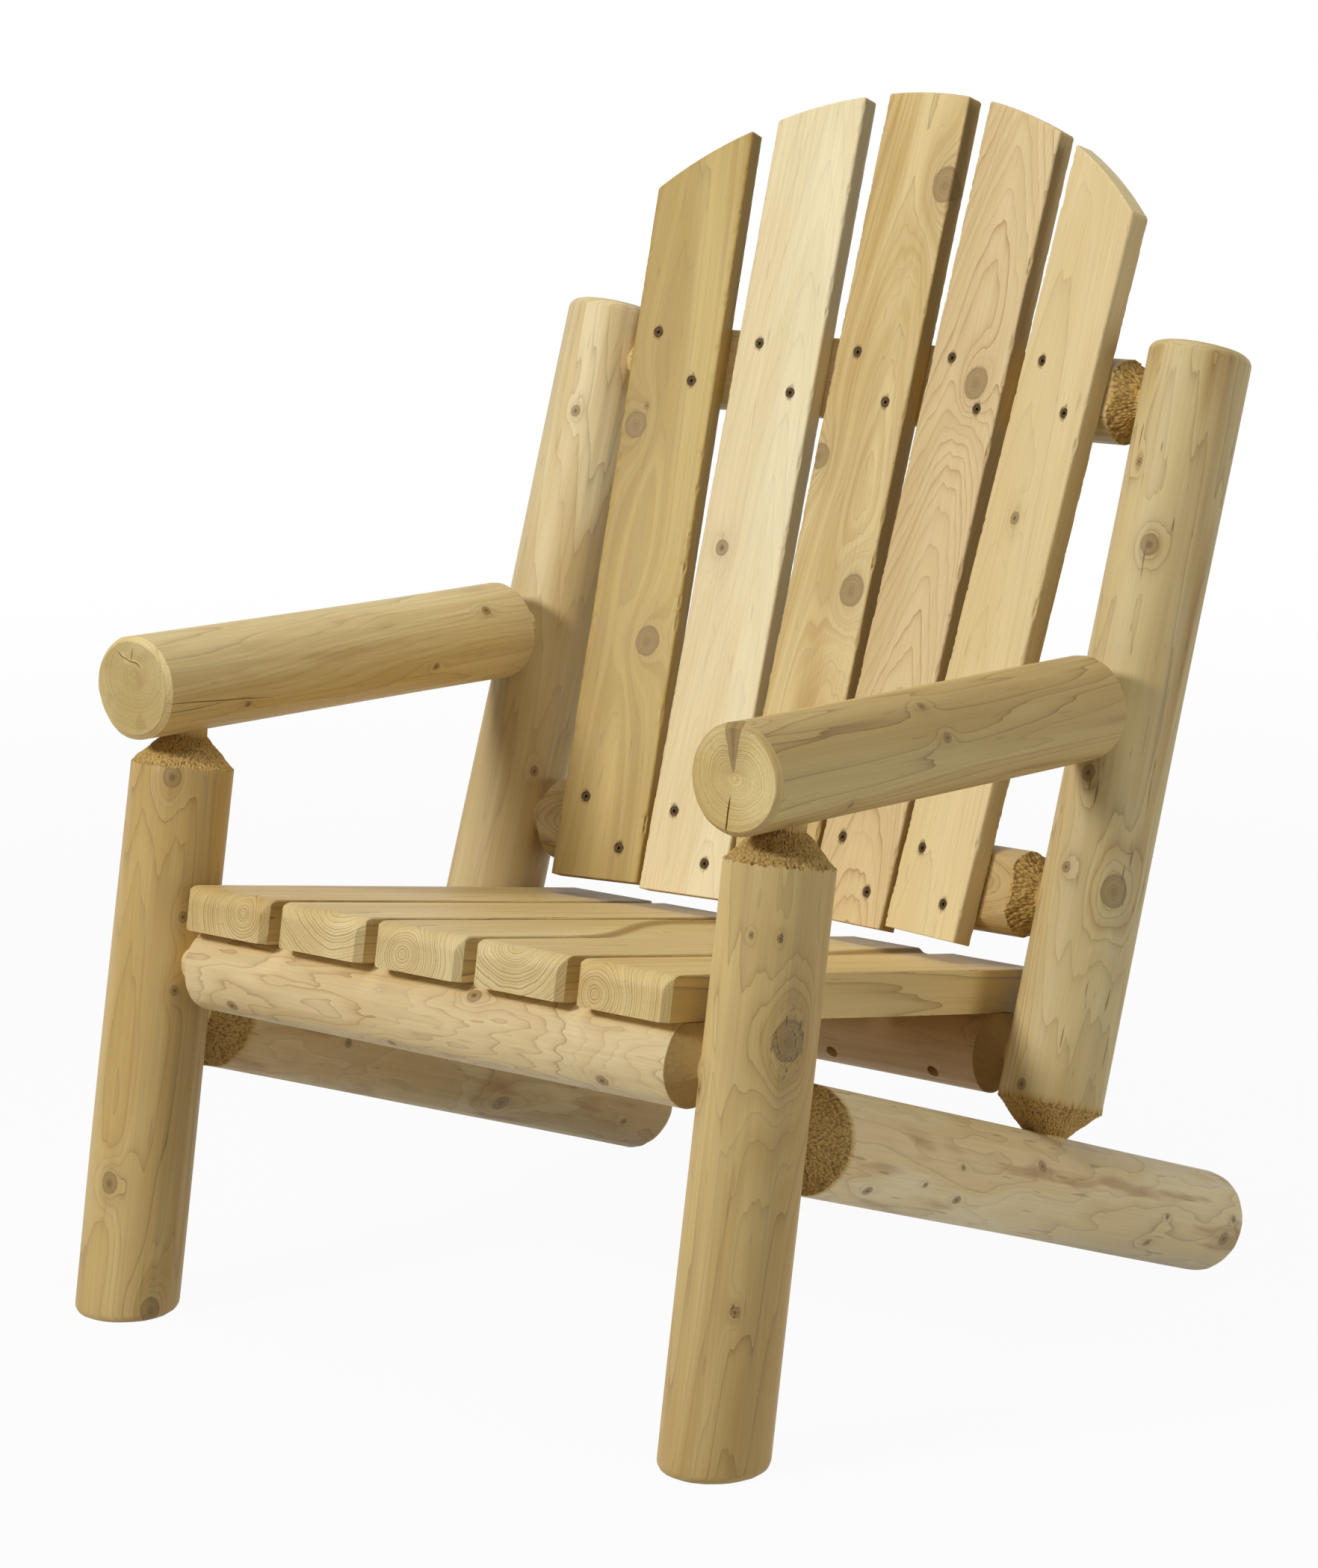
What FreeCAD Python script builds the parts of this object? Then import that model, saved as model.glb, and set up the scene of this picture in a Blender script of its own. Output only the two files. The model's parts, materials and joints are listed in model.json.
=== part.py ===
import FreeCAD, Part
import math
import os

import Sketcher

# A log armchair: peeled round logs joined by turned tenons, with a slatted seat and a fanned, hollowed back.
# Lengths are millimetres and angles degrees. The chair faces -Y, +X is the sitter's left, +Z is up.

DRIVING = {
    # logs and tenons
    "log_dia": 94.0,
    "cross_dia": 78.0,
    "tenon_dia": 38.0,
    "tenon_depth": 45.0,
    "end_chamfer": 7.0,
    "foot_chamfer": 8.0,
    # side frames
    "frame_width": 687.0,
    "leg_lean": 9.8,
    "post_lean": 18.8,
    "arm_drop": 1.0,
    "arm_height": 572.0,
    "arm_overhang": 75.0,
    "arm_gap": 14.0,
    "post_foot": 412.0,
    "post_length_up": 917.0,
    "side_rail_height": 278.5,
    "floor_trim": 2.0,
    # seat
    "tenon_web": 5.5,
    "seat_flat_cut": 5.0,
    "seat_slat_thick": 40.0,
    "seat_slat_gap": 14.4,
    "seat_side_room": 17.7,
    "seat_front": 46.0,
    "seat_rear": 52.6,
    "seat_round": 15.0,
    "seat_corner": 6.0,
    # back
    "back_slat_thick": 22.0,
    "back_slat_ease": 2.0,
    "back_slat_gap": 4.83,
    "back_side_room": 51.84,
    "back_spread": 21.28,
    "back_foot_drop": 54.5,
    "lower_rail_rise": 143.9,
    "upper_rail_drop": 54.0,
    "hollow_edge": 4.88,
    "crown_rise": 279.0,
    "crown_flat": 52.0,
    "arch_room": 107.5,
    # screws
    "screw_head_dia": 9.0,
    "screw_shank_dia": 4.6,
    "screw_rim": 0.6,
    "screw_tip": 6.0,
    "screw_sink": 0.8,
    "drive_width": 2.9,
    "drive_depth": 2.4,
    "back_screw_side": 22.0,
    "back_screw_edge": 16.0,
    "back_screw_cover": 2.7,
    "seat_screw_length": 68.0,
    "seat_screw_angle": 30.0,
    "seat_screw_cover": 15.75,
    "pocket_dia": 12.0,
    # clearances
    "tenon_clear": 0.2,
    "shoulder_gap": 0.4,
    "mortise_end_gap": 2.0,
    "screw_clear": 0.15,
}
SEAT_SLATS = 5
BACK_SLATS = 5
# the pocket holes enter the seat rails this far round from the inner side, below level
POCKET_ENTRY = 43.0

Vector = FreeCAD.Vector
size = dict(DRIVING)


def rad(name):
    return math.radians(size[name])


def lean_back(angle):
    """Unit direction that rises and leans to the rear by an angle in radians."""
    return Vector(0, math.sin(angle), math.cos(angle))


def fall_back(angle):
    """Unit direction that runs to the rear and drops by an angle in radians."""
    return Vector(0, math.cos(angle), -math.sin(angle))


def crossing(p, d, q, e):
    """Distances along two lines of a side view, from p along d and from q along e, to where they cross."""
    det = d.z * e.y - d.y * e.z
    dy = q.y - p.y
    dz = q.z - p.z
    return (dz * e.y - dy * e.z) / det, (d.y * dz - d.z * dy) / det


# Lengths that follow from the driving sizes

leg_way = lean_back(rad("leg_lean"))
post_way = lean_back(rad("post_lean"))
side_rail_way = fall_back(rad("post_lean"))
arm_way = fall_back(rad("arm_drop"))
arm_upright = lean_back(rad("arm_drop"))
seat_way = fall_back(rad("leg_lean"))
seat_normal = lean_back(rad("leg_lean"))
post_front = Vector(0, -post_way.z, post_way.y)
rightward = Vector(1, 0, 0)

size["log_r"] = size["log_dia"] / 2
size["cross_r"] = size["cross_dia"] / 2
size["tenon_r"] = size["tenon_dia"] / 2
size["mortise_r"] = size["tenon_r"] + size["tenon_clear"]
size["half_width"] = size["frame_width"] / 2
size["inner_width"] = size["frame_width"] - size["log_dia"]
log_r = size["log_r"]
log_cone = log_r - size["tenon_r"]
cross_cone = size["cross_r"] - size["tenon_r"]
gap = size["shoulder_gap"]
depth = size["tenon_depth"]


def slant_gap(angle):
    """Room that a shoulder needs where it meets a log off square by an angle in radians."""
    return gap + size["tenon_r"] * math.tan(abs(angle))


# front leg: from below the floor, where the foot is trimmed, up to the end of its tenon in the arm
FOOT_SPARE = 20.0
leg_to_arm = size["arm_height"] / leg_way.z
leg_off_square = rad("leg_lean") - rad("arm_drop")
leg_under_arm = leg_to_arm - log_r / math.cos(leg_off_square)
size["leg_neck"] = FOOT_SPARE + leg_under_arm - slant_gap(leg_off_square)
size["leg_shoulder"] = size["leg_neck"] - log_cone
size["leg_top"] = FOOT_SPARE + leg_under_arm + depth

# arm: square front end, square rear end that stops short of the post, and a tenon that bridges the gap
arm_at_leg = leg_way * leg_to_arm
arm_front = arm_at_leg - arm_way * size["arm_overhang"]
post_base = Vector(0, size["post_foot"], 0)
arm_under = arm_front - arm_upright * log_r
size["arm_length"] = crossing(arm_under, arm_way, post_base + post_front * log_r, post_way)[0] - size["arm_gap"]
arm_to_post = crossing(arm_front, arm_way, post_base, post_way)[0]
size["arm_end"] = arm_to_post - log_r / math.cos(rad("post_lean") - rad("arm_drop")) + depth
size["arm_chamfered"] = size["end_chamfer"]
size["end_r"] = log_r - size["end_chamfer"]

# side rail, which is also the rear leg: tenon into the front leg, rear end square with its lower edge on the floor
rail_at_leg = leg_way * (size["side_rail_height"] / leg_way.z)
rail_off_square = rad("post_lean") - rad("leg_lean")
rail_from_leg = log_r / math.cos(rail_off_square)
rail_start = rail_at_leg + side_rail_way * (rail_from_leg - depth)
size["side_rail_neck"] = depth + slant_gap(rail_off_square)
size["side_rail_shoulder"] = size["side_rail_neck"] + log_cone
rail_end_height = log_r * post_way.z - size["floor_trim"]
size["side_rail_length"] = (rail_start.z - rail_end_height) / post_way.y

# rear post: tenon down into the side rail, square to it
post_to_rail = crossing(post_base, post_way, rail_at_leg, side_rail_way)[0]
post_start_up = post_to_rail + log_r - depth
post_start = post_base + post_way * post_start_up
size["post_neck"] = depth + gap
size["post_shoulder"] = depth + gap + log_cone
size["post_length"] = size["post_length_up"] - post_start_up
size["post_chamfered"] = size["post_length"] - size["end_chamfer"]

# cross rails: the same turned piece in four places
size["cross_neck"] = depth + gap
size["cross_shoulder"] = depth + gap + cross_cone
size["cross_length"] = size["inner_width"] + 2 * depth
size["cross_far_shoulder"] = size["cross_length"] - size["cross_shoulder"]
size["cross_far_neck"] = size["cross_length"] - size["cross_neck"]
cross_left = -size["cross_length"] / 2
# the front seat rail's tenon clears the side rail's tenon inside the leg, and the rear one follows the seat's slope
size["seat_rail_height"] = size["side_rail_height"] + size["tenon_dia"] + size["tenon_web"]
front_rail_at = leg_way * (size["seat_rail_height"] / leg_way.z)
rear_rail_up, seat_rail_span = crossing(post_base, post_way, front_rail_at, seat_way)
rear_rail_at = post_base + post_way * rear_rail_up

# seat slats: spread evenly between the logs, lying on flats along both seat rails
size["seat_flat"] = size["cross_r"] - size["seat_flat_cut"]
seat_bare = 2 * size["seat_side_room"] + (SEAT_SLATS - 1) * size["seat_slat_gap"]
size["seat_slat_width"] = (size["inner_width"] - seat_bare) / SEAT_SLATS
size["seat_corner_far"] = size["seat_slat_width"] - size["seat_corner"]
size["seat_slat_pitch"] = size["seat_slat_width"] + size["seat_slat_gap"]
size["seat_slat_length"] = size["seat_front"] + seat_rail_span + size["seat_rear"]

# back slats: their rails are hollowed to one round, deepest at the middle of the rail and almost out at its shoulders
size["lower_rail_up"] = rear_rail_up + size["lower_rail_rise"]
size["upper_rail_up"] = size["post_length_up"] - size["upper_rail_drop"]
hollow_depth = size["cross_r"] - size["hollow_edge"]
hollow_half = size["cross_length"] / 2 - size["cross_shoulder"]
size["hollow_radius"] = (hollow_half ** 2 + hollow_depth ** 2) / (2 * hollow_depth)
back_bare = 2 * size["back_side_room"] + (BACK_SLATS - 1) * size["back_slat_gap"]
size["back_slat_width"] = (size["inner_width"] - back_bare) / BACK_SLATS
size["back_half"] = size["back_slat_width"] / 2
size["back_bottom"] = size["lower_rail_up"] - size["back_foot_drop"]
back_pitch = size["back_slat_width"] + size["back_slat_gap"]
size["fan_low"] = math.degrees(math.asin(back_pitch / size["hollow_radius"]))
size["fan_high"] = math.degrees(math.asin((back_pitch + size["back_spread"]) / size["hollow_radius"]))
crown_up = size["upper_rail_up"] + size["crown_rise"]
size["fan_high_up"] = crown_up - size["crown_flat"]
size["arch_radius"] = size["inner_width"] / 2 + size["arch_room"]
size["arch_centre_up"] = crown_up - size["arch_radius"]
upper_rail_at = post_base + post_way * size["upper_rail_up"]
lower_rail_at = post_base + post_way * size["lower_rail_up"]

# screws: the back ones stop inside the rail, the seat ones start in pockets deep enough to stop inside the slat
size["back_screw_rise"] = size["cross_r"] - size["back_screw_edge"]
rail_behind = math.sqrt(size["cross_r"] ** 2 - size["back_screw_rise"] ** 2)
size["back_screw_length"] = size["back_slat_thick"] - size["screw_sink"] + rail_behind - size["back_screw_cover"]
tilt_cos = math.cos(rad("seat_screw_angle"))
seat_screw_bite = (size["seat_slat_thick"] - size["seat_screw_cover"]) / tilt_cos
pocket_mouth = math.sin(math.radians(POCKET_ENTRY)) * size["cross_r"]
size["pocket_depth"] = (pocket_mouth + size["seat_flat"]) / tilt_cos - size["seat_screw_length"] + seat_screw_bite
size["screw_head_r"] = size["screw_head_dia"] / 2
size["screw_shank_r"] = size["screw_shank_dia"] / 2
size["screw_neck"] = size["screw_rim"] + size["screw_head_r"] - size["screw_shank_r"]
size["back_screw_taper"] = size["back_screw_length"] - size["screw_tip"]
size["seat_screw_taper"] = size["seat_screw_length"] - size["screw_tip"]
size["bore_head_r"] = size["screw_head_r"] + size["screw_clear"]
size["bore_shank_r"] = size["screw_shank_r"] + size["screw_clear"]
size["pocket_r"] = size["pocket_dia"] / 2
# the bores start this far outside the screw head
BORE_LEAD = 10.0
size["bore_lead"] = BORE_LEAD
size["bore_rim"] = BORE_LEAD + size["screw_rim"]
size["bore_neck"] = BORE_LEAD + size["screw_neck"]
size["back_bore_length"] = BORE_LEAD + size["back_screw_length"] + 1.0
size["seat_bore_length"] = BORE_LEAD + size["seat_screw_length"] + 1.0

doc = FreeCAD.newDocument("log_chair")
sheet = doc.addObject("Spreadsheet::Sheet", "Sizes")
for row, (alias, value) in enumerate(size.items(), start=1):
    sheet.set("A%d" % row, alias)
    sheet.set("B%d" % row, repr(float(value)))
    sheet.setAlias("B%d" % row, alias)
doc.recompute()

placed = []
nodes = []


def bind(item, prop, alias):
    item.setExpression(prop, "Sizes." + alias)


def put(item, placement):
    item.Placement = placement
    placed.append(item)
    return item


def frame_at(start, along, across):
    """Placement with local Z along one direction and local X as near as possible to another."""
    return FreeCAD.Placement(start, FreeCAD.Rotation(across, along.cross(across), along, "ZXY"))


def moved(placement, x, y, z):
    return placement.multiply(FreeCAD.Placement(Vector(x, y, z), FreeCAD.Rotation()))


def origin_plane(body, role):
    for feature in body.Origin.OriginFeatures:
        if feature.Role == role:
            return feature
    raise ValueError("no plane " + role)


def new_sketch(body, name, role):
    sketch = body.newObject("Sketcher::SketchObject", name)
    sketch.AttachmentSupport = [(origin_plane(body, role), "")]
    sketch.MapMode = "FlatFace"
    return sketch


def pin(sketch, geometry, corner, axis, alias):
    """Tie one coordinate of a sketch point to a named size, or to the sketch's axis where it is zero."""
    if alias is None:
        line = -2 if axis == "DistanceX" else -1
        sketch.addConstraint(Sketcher.Constraint("PointOnObject", geometry, corner, line))
        return
    index = sketch.addConstraint(Sketcher.Constraint(axis, -1, 1, geometry, corner, size[alias]))
    sketch.setExpression("Constraints[%d]" % index, "Sizes." + alias)


def polygon(sketch, corners):
    """Closed outline whose corners are pairs of size names; None stands for zero."""
    def value(alias):
        return 0.0 if alias is None else size[alias]

    points = [Vector(value(a), value(b), 0) for a, b in corners]
    count = len(points)
    for i in range(count):
        sketch.addGeometry(Part.LineSegment(points[i], points[(i + 1) % count]), False)
    for i in range(count):
        sketch.addConstraint(Sketcher.Constraint("Coincident", i, 2, (i + 1) % count, 1))
    for i, (a, b) in enumerate(corners):
        pin(sketch, i, 1, "DistanceX", a)
        pin(sketch, i, 1, "DistanceY", b)


def turned(label, profile):
    """Body turned about its local Z from radius and height names, closed along the axis."""
    body = doc.addObject("PartDesign::Body", label)
    sketch = new_sketch(body, label + "_profile", "XZ_Plane")
    polygon(sketch, [(None, profile[0][1])] + profile + [(None, profile[-1][1])])
    turn = body.newObject("PartDesign::Revolution", label + "_turn")
    turn.Profile = sketch
    turn.ReferenceAxis = (sketch, ["V_Axis"])
    turn.Angle = 360.0
    return body


def drill(label, placement, start, length, radius_alias):
    """Round cutter along a placement's local Z."""
    cutter = doc.addObject("Part::Cylinder", label)
    bind(cutter, "Radius", radius_alias)
    cutter.Height = length
    return put(cutter, moved(placement, 0, 0, start))


def block(label, placement, low, high):
    """Square cutter between two corners given in a placement's local frame."""
    cutter = doc.addObject("Part::Box", label)
    cutter.Length = high[0] - low[0]
    cutter.Width = high[1] - low[1]
    cutter.Height = high[2] - low[2]
    return put(cutter, moved(placement, *low))


def cut_node(label, blank, cutters, finish=None):
    """The finished piece: a blank less its cutters."""
    if len(cutters) > 1:
        tools = doc.addObject("Part::MultiFuse", label + "_cutters")
        tools.Shapes = cutters
    else:
        tools = cutters[0]
    result = doc.addObject("Part::Cut", label if finish is None else label + "_cut")
    result.Base = blank
    result.Tool = tools
    if finish is not None:
        doc.recompute()
        result = finish(label, result)
    result.Label = label
    nodes.append(result)
    return result


def copies(label, pattern, placements):
    """One compound of a pattern body repeated at several placements."""
    group = doc.addObject("Part::Feature", label)
    shapes = []
    for placement in placements:
        shape = pattern.Shape.copy()
        shape.Placement = placement
        shapes.append(shape)
    group.Shape = Part.Compound(shapes)
    placed.append(group)
    return group


def chamfered_foot(label, cut):
    """Chamfer round the edge where a leg meets the floor."""
    chamfer = doc.addObject("Part::Chamfer", label)
    chamfer.Base = cut
    edges = []
    for number, edge in enumerate(cut.Shape.Edges, start=1):
        box = edge.BoundBox
        if box.ZMax < 0.01 and box.XLength > size["log_r"]:
            edges.append((number, size["foot_chamfer"], size["foot_chamfer"]))
    chamfer.Edges = edges
    return chamfer


# Side frames: front leg, arm, side rail and rear post on each side, all in one upright plane

LEG_PROFILE = [("log_r", None), ("log_r", "leg_shoulder"), ("tenon_r", "leg_neck"), ("tenon_r", "leg_top")]
ARM_PROFILE = [("end_r", None), ("log_r", "arm_chamfered"), ("log_r", "arm_length"),
               ("tenon_r", "arm_length"), ("tenon_r", "arm_end")]
SIDE_RAIL_PROFILE = [("tenon_r", None), ("tenon_r", "side_rail_neck"), ("log_r", "side_rail_shoulder"),
                     ("log_r", "side_rail_length")]
POST_PROFILE = [("tenon_r", None), ("tenon_r", "post_neck"), ("log_r", "post_shoulder"),
                ("log_r", "post_chamfered"), ("end_r", "post_length")]
CROSS_PROFILE = [("tenon_r", None), ("tenon_r", "cross_neck"), ("cross_r", "cross_shoulder"),
                 ("cross_r", "cross_far_shoulder"), ("tenon_r", "cross_far_neck"), ("tenon_r", "cross_length")]

mortise = depth + size["mortise_end_gap"]
cross_frames = {
    "front_seat_rail": frame_at(front_rail_at + rightward * cross_left, rightward, Vector(0, 0, 1)),
    "rear_seat_rail": frame_at(rear_rail_at + rightward * cross_left, rightward, Vector(0, 0, 1)),
    "upper_back_rail": frame_at(upper_rail_at + rightward * cross_left, rightward, Vector(0, 0, 1)),
    "lower_back_rail": frame_at(lower_rail_at + rightward * cross_left, rightward, Vector(0, 0, 1)),
}


def cross_mortise(label, rail, side):
    """Cutter for the tenon of a cross rail at the left (-1) or right (+1) log."""
    spare = size["mortise_end_gap"]
    start = -spare if side < 0 else size["cross_far_neck"] - 10.0
    return drill(label, cross_frames[rail], start, depth + 10.0 + spare, "mortise_r")


for side, name in ((-1, "left"), (1, "right")):
    at_side = rightward * (side * size["half_width"])
    leg_frame = frame_at(at_side - leg_way * FOOT_SPARE, leg_way, rightward)
    arm_frame = frame_at(at_side + arm_front, arm_way, rightward)
    rail_frame = frame_at(at_side + rail_start, side_rail_way, rightward)
    post_frame = frame_at(at_side + post_start, post_way, rightward)
    floor_frame = FreeCAD.Placement(at_side, FreeCAD.Rotation())

    leg_log = put(turned("front_leg_log_" + name, LEG_PROFILE), leg_frame)
    arm_log = put(turned("arm_log_" + name, ARM_PROFILE), arm_frame)
    rail_log = put(turned("side_rail_log_" + name, SIDE_RAIL_PROFILE), rail_frame)
    post_log = put(turned("rear_post_log_" + name, POST_PROFILE), post_frame)

    foot_cut = block("foot_cut_" + name, floor_frame, (-100, -100, -60), (100, 100, 0))
    heel_cut = block("heel_cut_" + name, floor_frame, (-100, 300, -60), (100, 1100, 0))
    leg_mortises = [
        drill("side_rail_mortise_" + name, rail_frame, -size["mortise_end_gap"], mortise + 10.0, "mortise_r"),
        cross_mortise("front_rail_mortise_" + name, "front_seat_rail", side),
    ]
    post_mortises = [
        drill("arm_mortise_" + name, arm_frame, size["arm_length"] - 5.0,
              size["arm_end"] - size["arm_length"] + 5.0 + size["mortise_end_gap"], "mortise_r"),
        cross_mortise("rear_rail_mortise_" + name, "rear_seat_rail", side),
        cross_mortise("upper_rail_mortise_" + name, "upper_back_rail", side),
        cross_mortise("lower_rail_mortise_" + name, "lower_back_rail", side),
    ]
    cut_node("front_leg_" + name, leg_log, [foot_cut] + leg_mortises, chamfered_foot)
    cut_node("arm_" + name, arm_log, [drill("leg_mortise_" + name, leg_frame, size["leg_neck"] - 10.0,
                                            size["leg_top"] - size["leg_neck"] + 10.0 + size["mortise_end_gap"],
                                            "mortise_r")])
    cut_node("side_rail_" + name, rail_log, [heel_cut, drill("post_mortise_" + name, post_frame,
                                                             -size["mortise_end_gap"], mortise + 10.0, "mortise_r")])
    cut_node("rear_post_" + name, post_log, post_mortises)

# Screws: countersunk heads with a square drive, and the bores that hold them


def screw_pattern(label, length, taper):
    """Screw with its head at local zero and its tip along local Z."""
    body = turned(label, [("screw_head_r", None), ("screw_head_r", "screw_rim"), ("screw_shank_r", "screw_neck"),
                          ("screw_shank_r", taper)])
    tip = body.newObject("PartDesign::AdditiveCone", label + "_tip")
    bind(tip, "Radius1", "screw_shank_r")
    tip.Radius2 = 0.4
    bind(tip, "Height", "screw_tip")
    tip.AttachmentOffset = FreeCAD.Placement(Vector(0, 0, size[taper]), FreeCAD.Rotation())
    tip.AttachmentSupport = [(origin_plane(body, "XY_Plane"), "")]
    tip.MapMode = "FlatFace"
    drive = body.newObject("PartDesign::SubtractiveBox", label + "_drive")
    bind(drive, "Length", "drive_width")
    bind(drive, "Width", "drive_width")
    bind(drive, "Height", "drive_depth")
    half = size["drive_width"] / 2
    drive.AttachmentOffset = FreeCAD.Placement(Vector(-half, -half, 0), FreeCAD.Rotation())
    drive.AttachmentSupport = [(origin_plane(body, "XY_Plane"), "")]
    drive.MapMode = "FlatFace"
    return body


def screw_bore(label, length, mouth):
    """Cutter for one screw: a mouth outside the head, the head's cone and the shank."""
    return turned(label, [(mouth, None), (mouth, "bore_rim"), ("bore_shank_r", "bore_neck"), ("bore_shank_r", length)])


back_screw = screw_pattern("back_screw", "back_screw_length", "back_screw_taper")
seat_screw = screw_pattern("seat_screw", "seat_screw_length", "seat_screw_taper")
back_bore = screw_bore("back_bore", "back_bore_length", "bore_head_r")
seat_bore = screw_bore("seat_bore", "seat_bore_length", "bore_head_r")
doc.recompute()


def bore_places(screws):
    return [moved(place, 0, 0, -BORE_LEAD) for place in screws]


def screw_node(label, pattern, places):
    nodes.append(copies(label, pattern, places))


# Back slats: fanned boards on a hollowed pair of rails, tops cut to one arch


def on_hollow(angle, up):
    across = rightward * (size["hollow_radius"] * math.sin(angle))
    forward = post_front * (size["hollow_radius"] * (1 - math.cos(angle)))
    return post_base + post_way * up + across + forward


def slat_frame(k):
    """Local X across the board, local Z up the board, local -Y out of its front; zero at the lower back edge."""
    low = math.radians(k * size["fan_low"])
    high = math.radians(k * size["fan_high"])
    foot = on_hollow(low, size["back_bottom"])
    up = on_hollow(high, size["fan_high_up"]) - foot
    up.normalize()
    turn = (low + high) / 2
    across = rightward * math.cos(turn) + post_front * math.sin(turn)
    return frame_at(foot, up, across)


def back_board(label, frame):
    body = doc.addObject("PartDesign::Body", label + "_board")
    sketch = new_sketch(body, label + "_outline", "XZ_Plane")
    half = size["back_half"]
    radius = size["arch_radius"]
    centre = frame.inverse().multVec(post_base + post_way * size["arch_centre_up"])
    left_top = centre.z + math.sqrt(radius ** 2 - (-half - centre.x) ** 2)
    right_top = centre.z + math.sqrt(radius ** 2 - (half - centre.x) ** 2)
    start = math.atan2(right_top - centre.z, half - centre.x)
    end = math.atan2(left_top - centre.z, -half - centre.x)
    sketch.addGeometry(Part.LineSegment(Vector(-half, 0, 0), Vector(half, 0, 0)), False)
    sketch.addGeometry(Part.LineSegment(Vector(half, 0, 0), Vector(half, right_top, 0)), False)
    circle = Part.Circle(Vector(centre.x, centre.z, 0), Vector(0, 0, 1), radius)
    sketch.addGeometry(Part.ArcOfCircle(circle, start, end), False)
    sketch.addGeometry(Part.LineSegment(Vector(-half, left_top, 0), Vector(-half, 0, 0)), False)
    sketch.addConstraint(Sketcher.Constraint("Coincident", 0, 2, 1, 1))
    sketch.addConstraint(Sketcher.Constraint("Coincident", 1, 2, 2, 1))
    sketch.addConstraint(Sketcher.Constraint("Coincident", 2, 2, 3, 1))
    sketch.addConstraint(Sketcher.Constraint("Coincident", 3, 2, 0, 1))
    sketch.addConstraint(Sketcher.Constraint("Vertical", 1))
    sketch.addConstraint(Sketcher.Constraint("Vertical", 3))
    pin(sketch, 0, 1, "DistanceY", None)
    pin(sketch, 0, 2, "DistanceY", None)
    pin(sketch, 0, 2, "DistanceX", "back_half")
    wide = sketch.addConstraint(Sketcher.Constraint("DistanceX", 0, 1, -1, 1, half))
    sketch.setExpression("Constraints[%d]" % wide, "Sizes.back_half")
    curve = sketch.addConstraint(Sketcher.Constraint("Radius", 2, radius))
    sketch.setExpression("Constraints[%d]" % curve, "Sizes.arch_radius")
    sketch.addConstraint(Sketcher.Constraint("DistanceY", -1, 1, 2, 3, centre.z))
    if abs(centre.x) < 0.001:
        sketch.addConstraint(Sketcher.Constraint("PointOnObject", 2, 3, -2))
    elif centre.x > 0:
        sketch.addConstraint(Sketcher.Constraint("DistanceX", -1, 1, 2, 3, centre.x))
    else:
        sketch.addConstraint(Sketcher.Constraint("DistanceX", 2, 3, -1, 1, -centre.x))
    pad = body.newObject("PartDesign::Pad", label + "_pad")
    pad.Profile = sketch
    bind(pad, "Length", "back_slat_thick")
    doc.recompute()
    eased = []
    for number, edge in enumerate(pad.Shape.Edges, start=1):
        if edge.BoundBox.YMax < 0.01 - size["back_slat_thick"]:
            eased.append("Edge%d" % number)
    ease = body.newObject("PartDesign::Chamfer", label + "_ease")
    ease.Base = (pad, eased)
    bind(ease, "Size", "back_slat_ease")
    return put(body, frame)


back_rail_cutters = {"upper_back_rail": [], "lower_back_rail": []}
back_rail_screws = {"upper_back_rail": [], "lower_back_rail": []}
rail_up = {"upper_back_rail": size["upper_rail_up"], "lower_back_rail": size["lower_rail_up"]}
into_slat = FreeCAD.Rotation(Vector(0, 0, 1), Vector(0, 1, 0))
for number in range(1, BACK_SLATS + 1):
    k = number - (BACK_SLATS + 1) / 2
    label = "back_slat_%d" % number
    frame = slat_frame(k)
    board = back_board(label, frame)
    up_way = frame.Rotation.multVec(Vector(0, 0, 1))
    screws = []
    for rail, up in rail_up.items():
        # where this board crosses the rail, and how wide a facet of the hollow it owns there
        level = (up - size["back_bottom"]) / up_way.dot(post_way)
        share = (up - size["back_bottom"]) / (size["fan_high_up"] - size["back_bottom"])
        step = math.radians(size["fan_low"] + (size["fan_high"] - size["fan_low"]) * share)
        facet = size["hollow_radius"] * math.sin(step) / 2 + 0.6
        outer = facet + size["frame_width"] / 4
        low_x = -outer if number == 1 else -facet
        high_x = outer if number == BACK_SLATS else facet
        reach = size["cross_dia"]
        back_rail_cutters[rail].append(block("%s_facet_%d" % (rail, number), frame,
                                             (low_x, -reach, level - reach), (high_x, 0, level + reach)))
        for way in (-1, 1):
            spot = Vector(way * size["back_screw_side"], -size["back_slat_thick"] + size["screw_sink"],
                          level - way * size["back_screw_rise"])
            place = frame.multiply(FreeCAD.Placement(spot, into_slat))
            screws.append(place)
            back_rail_screws[rail].append(place)
    bores = copies(label + "_bores", back_bore, bore_places(screws))
    cut_node(label, board, [bores])

# Seat slats: boards on flats planed along the two seat rails, held from below by screws in pocket holes


def clip_corner(body, label, corners):
    """Take an upright three-cornered piece off a board, drawn from above."""
    sketch = new_sketch(body, label + "_plan", "XY_Plane")
    polygon(sketch, corners)
    clip = body.newObject("PartDesign::Pocket", label)
    clip.Profile = sketch
    clip.Type = "ThroughAll"
    clip.Reversed = True
    doc.recompute()


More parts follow.
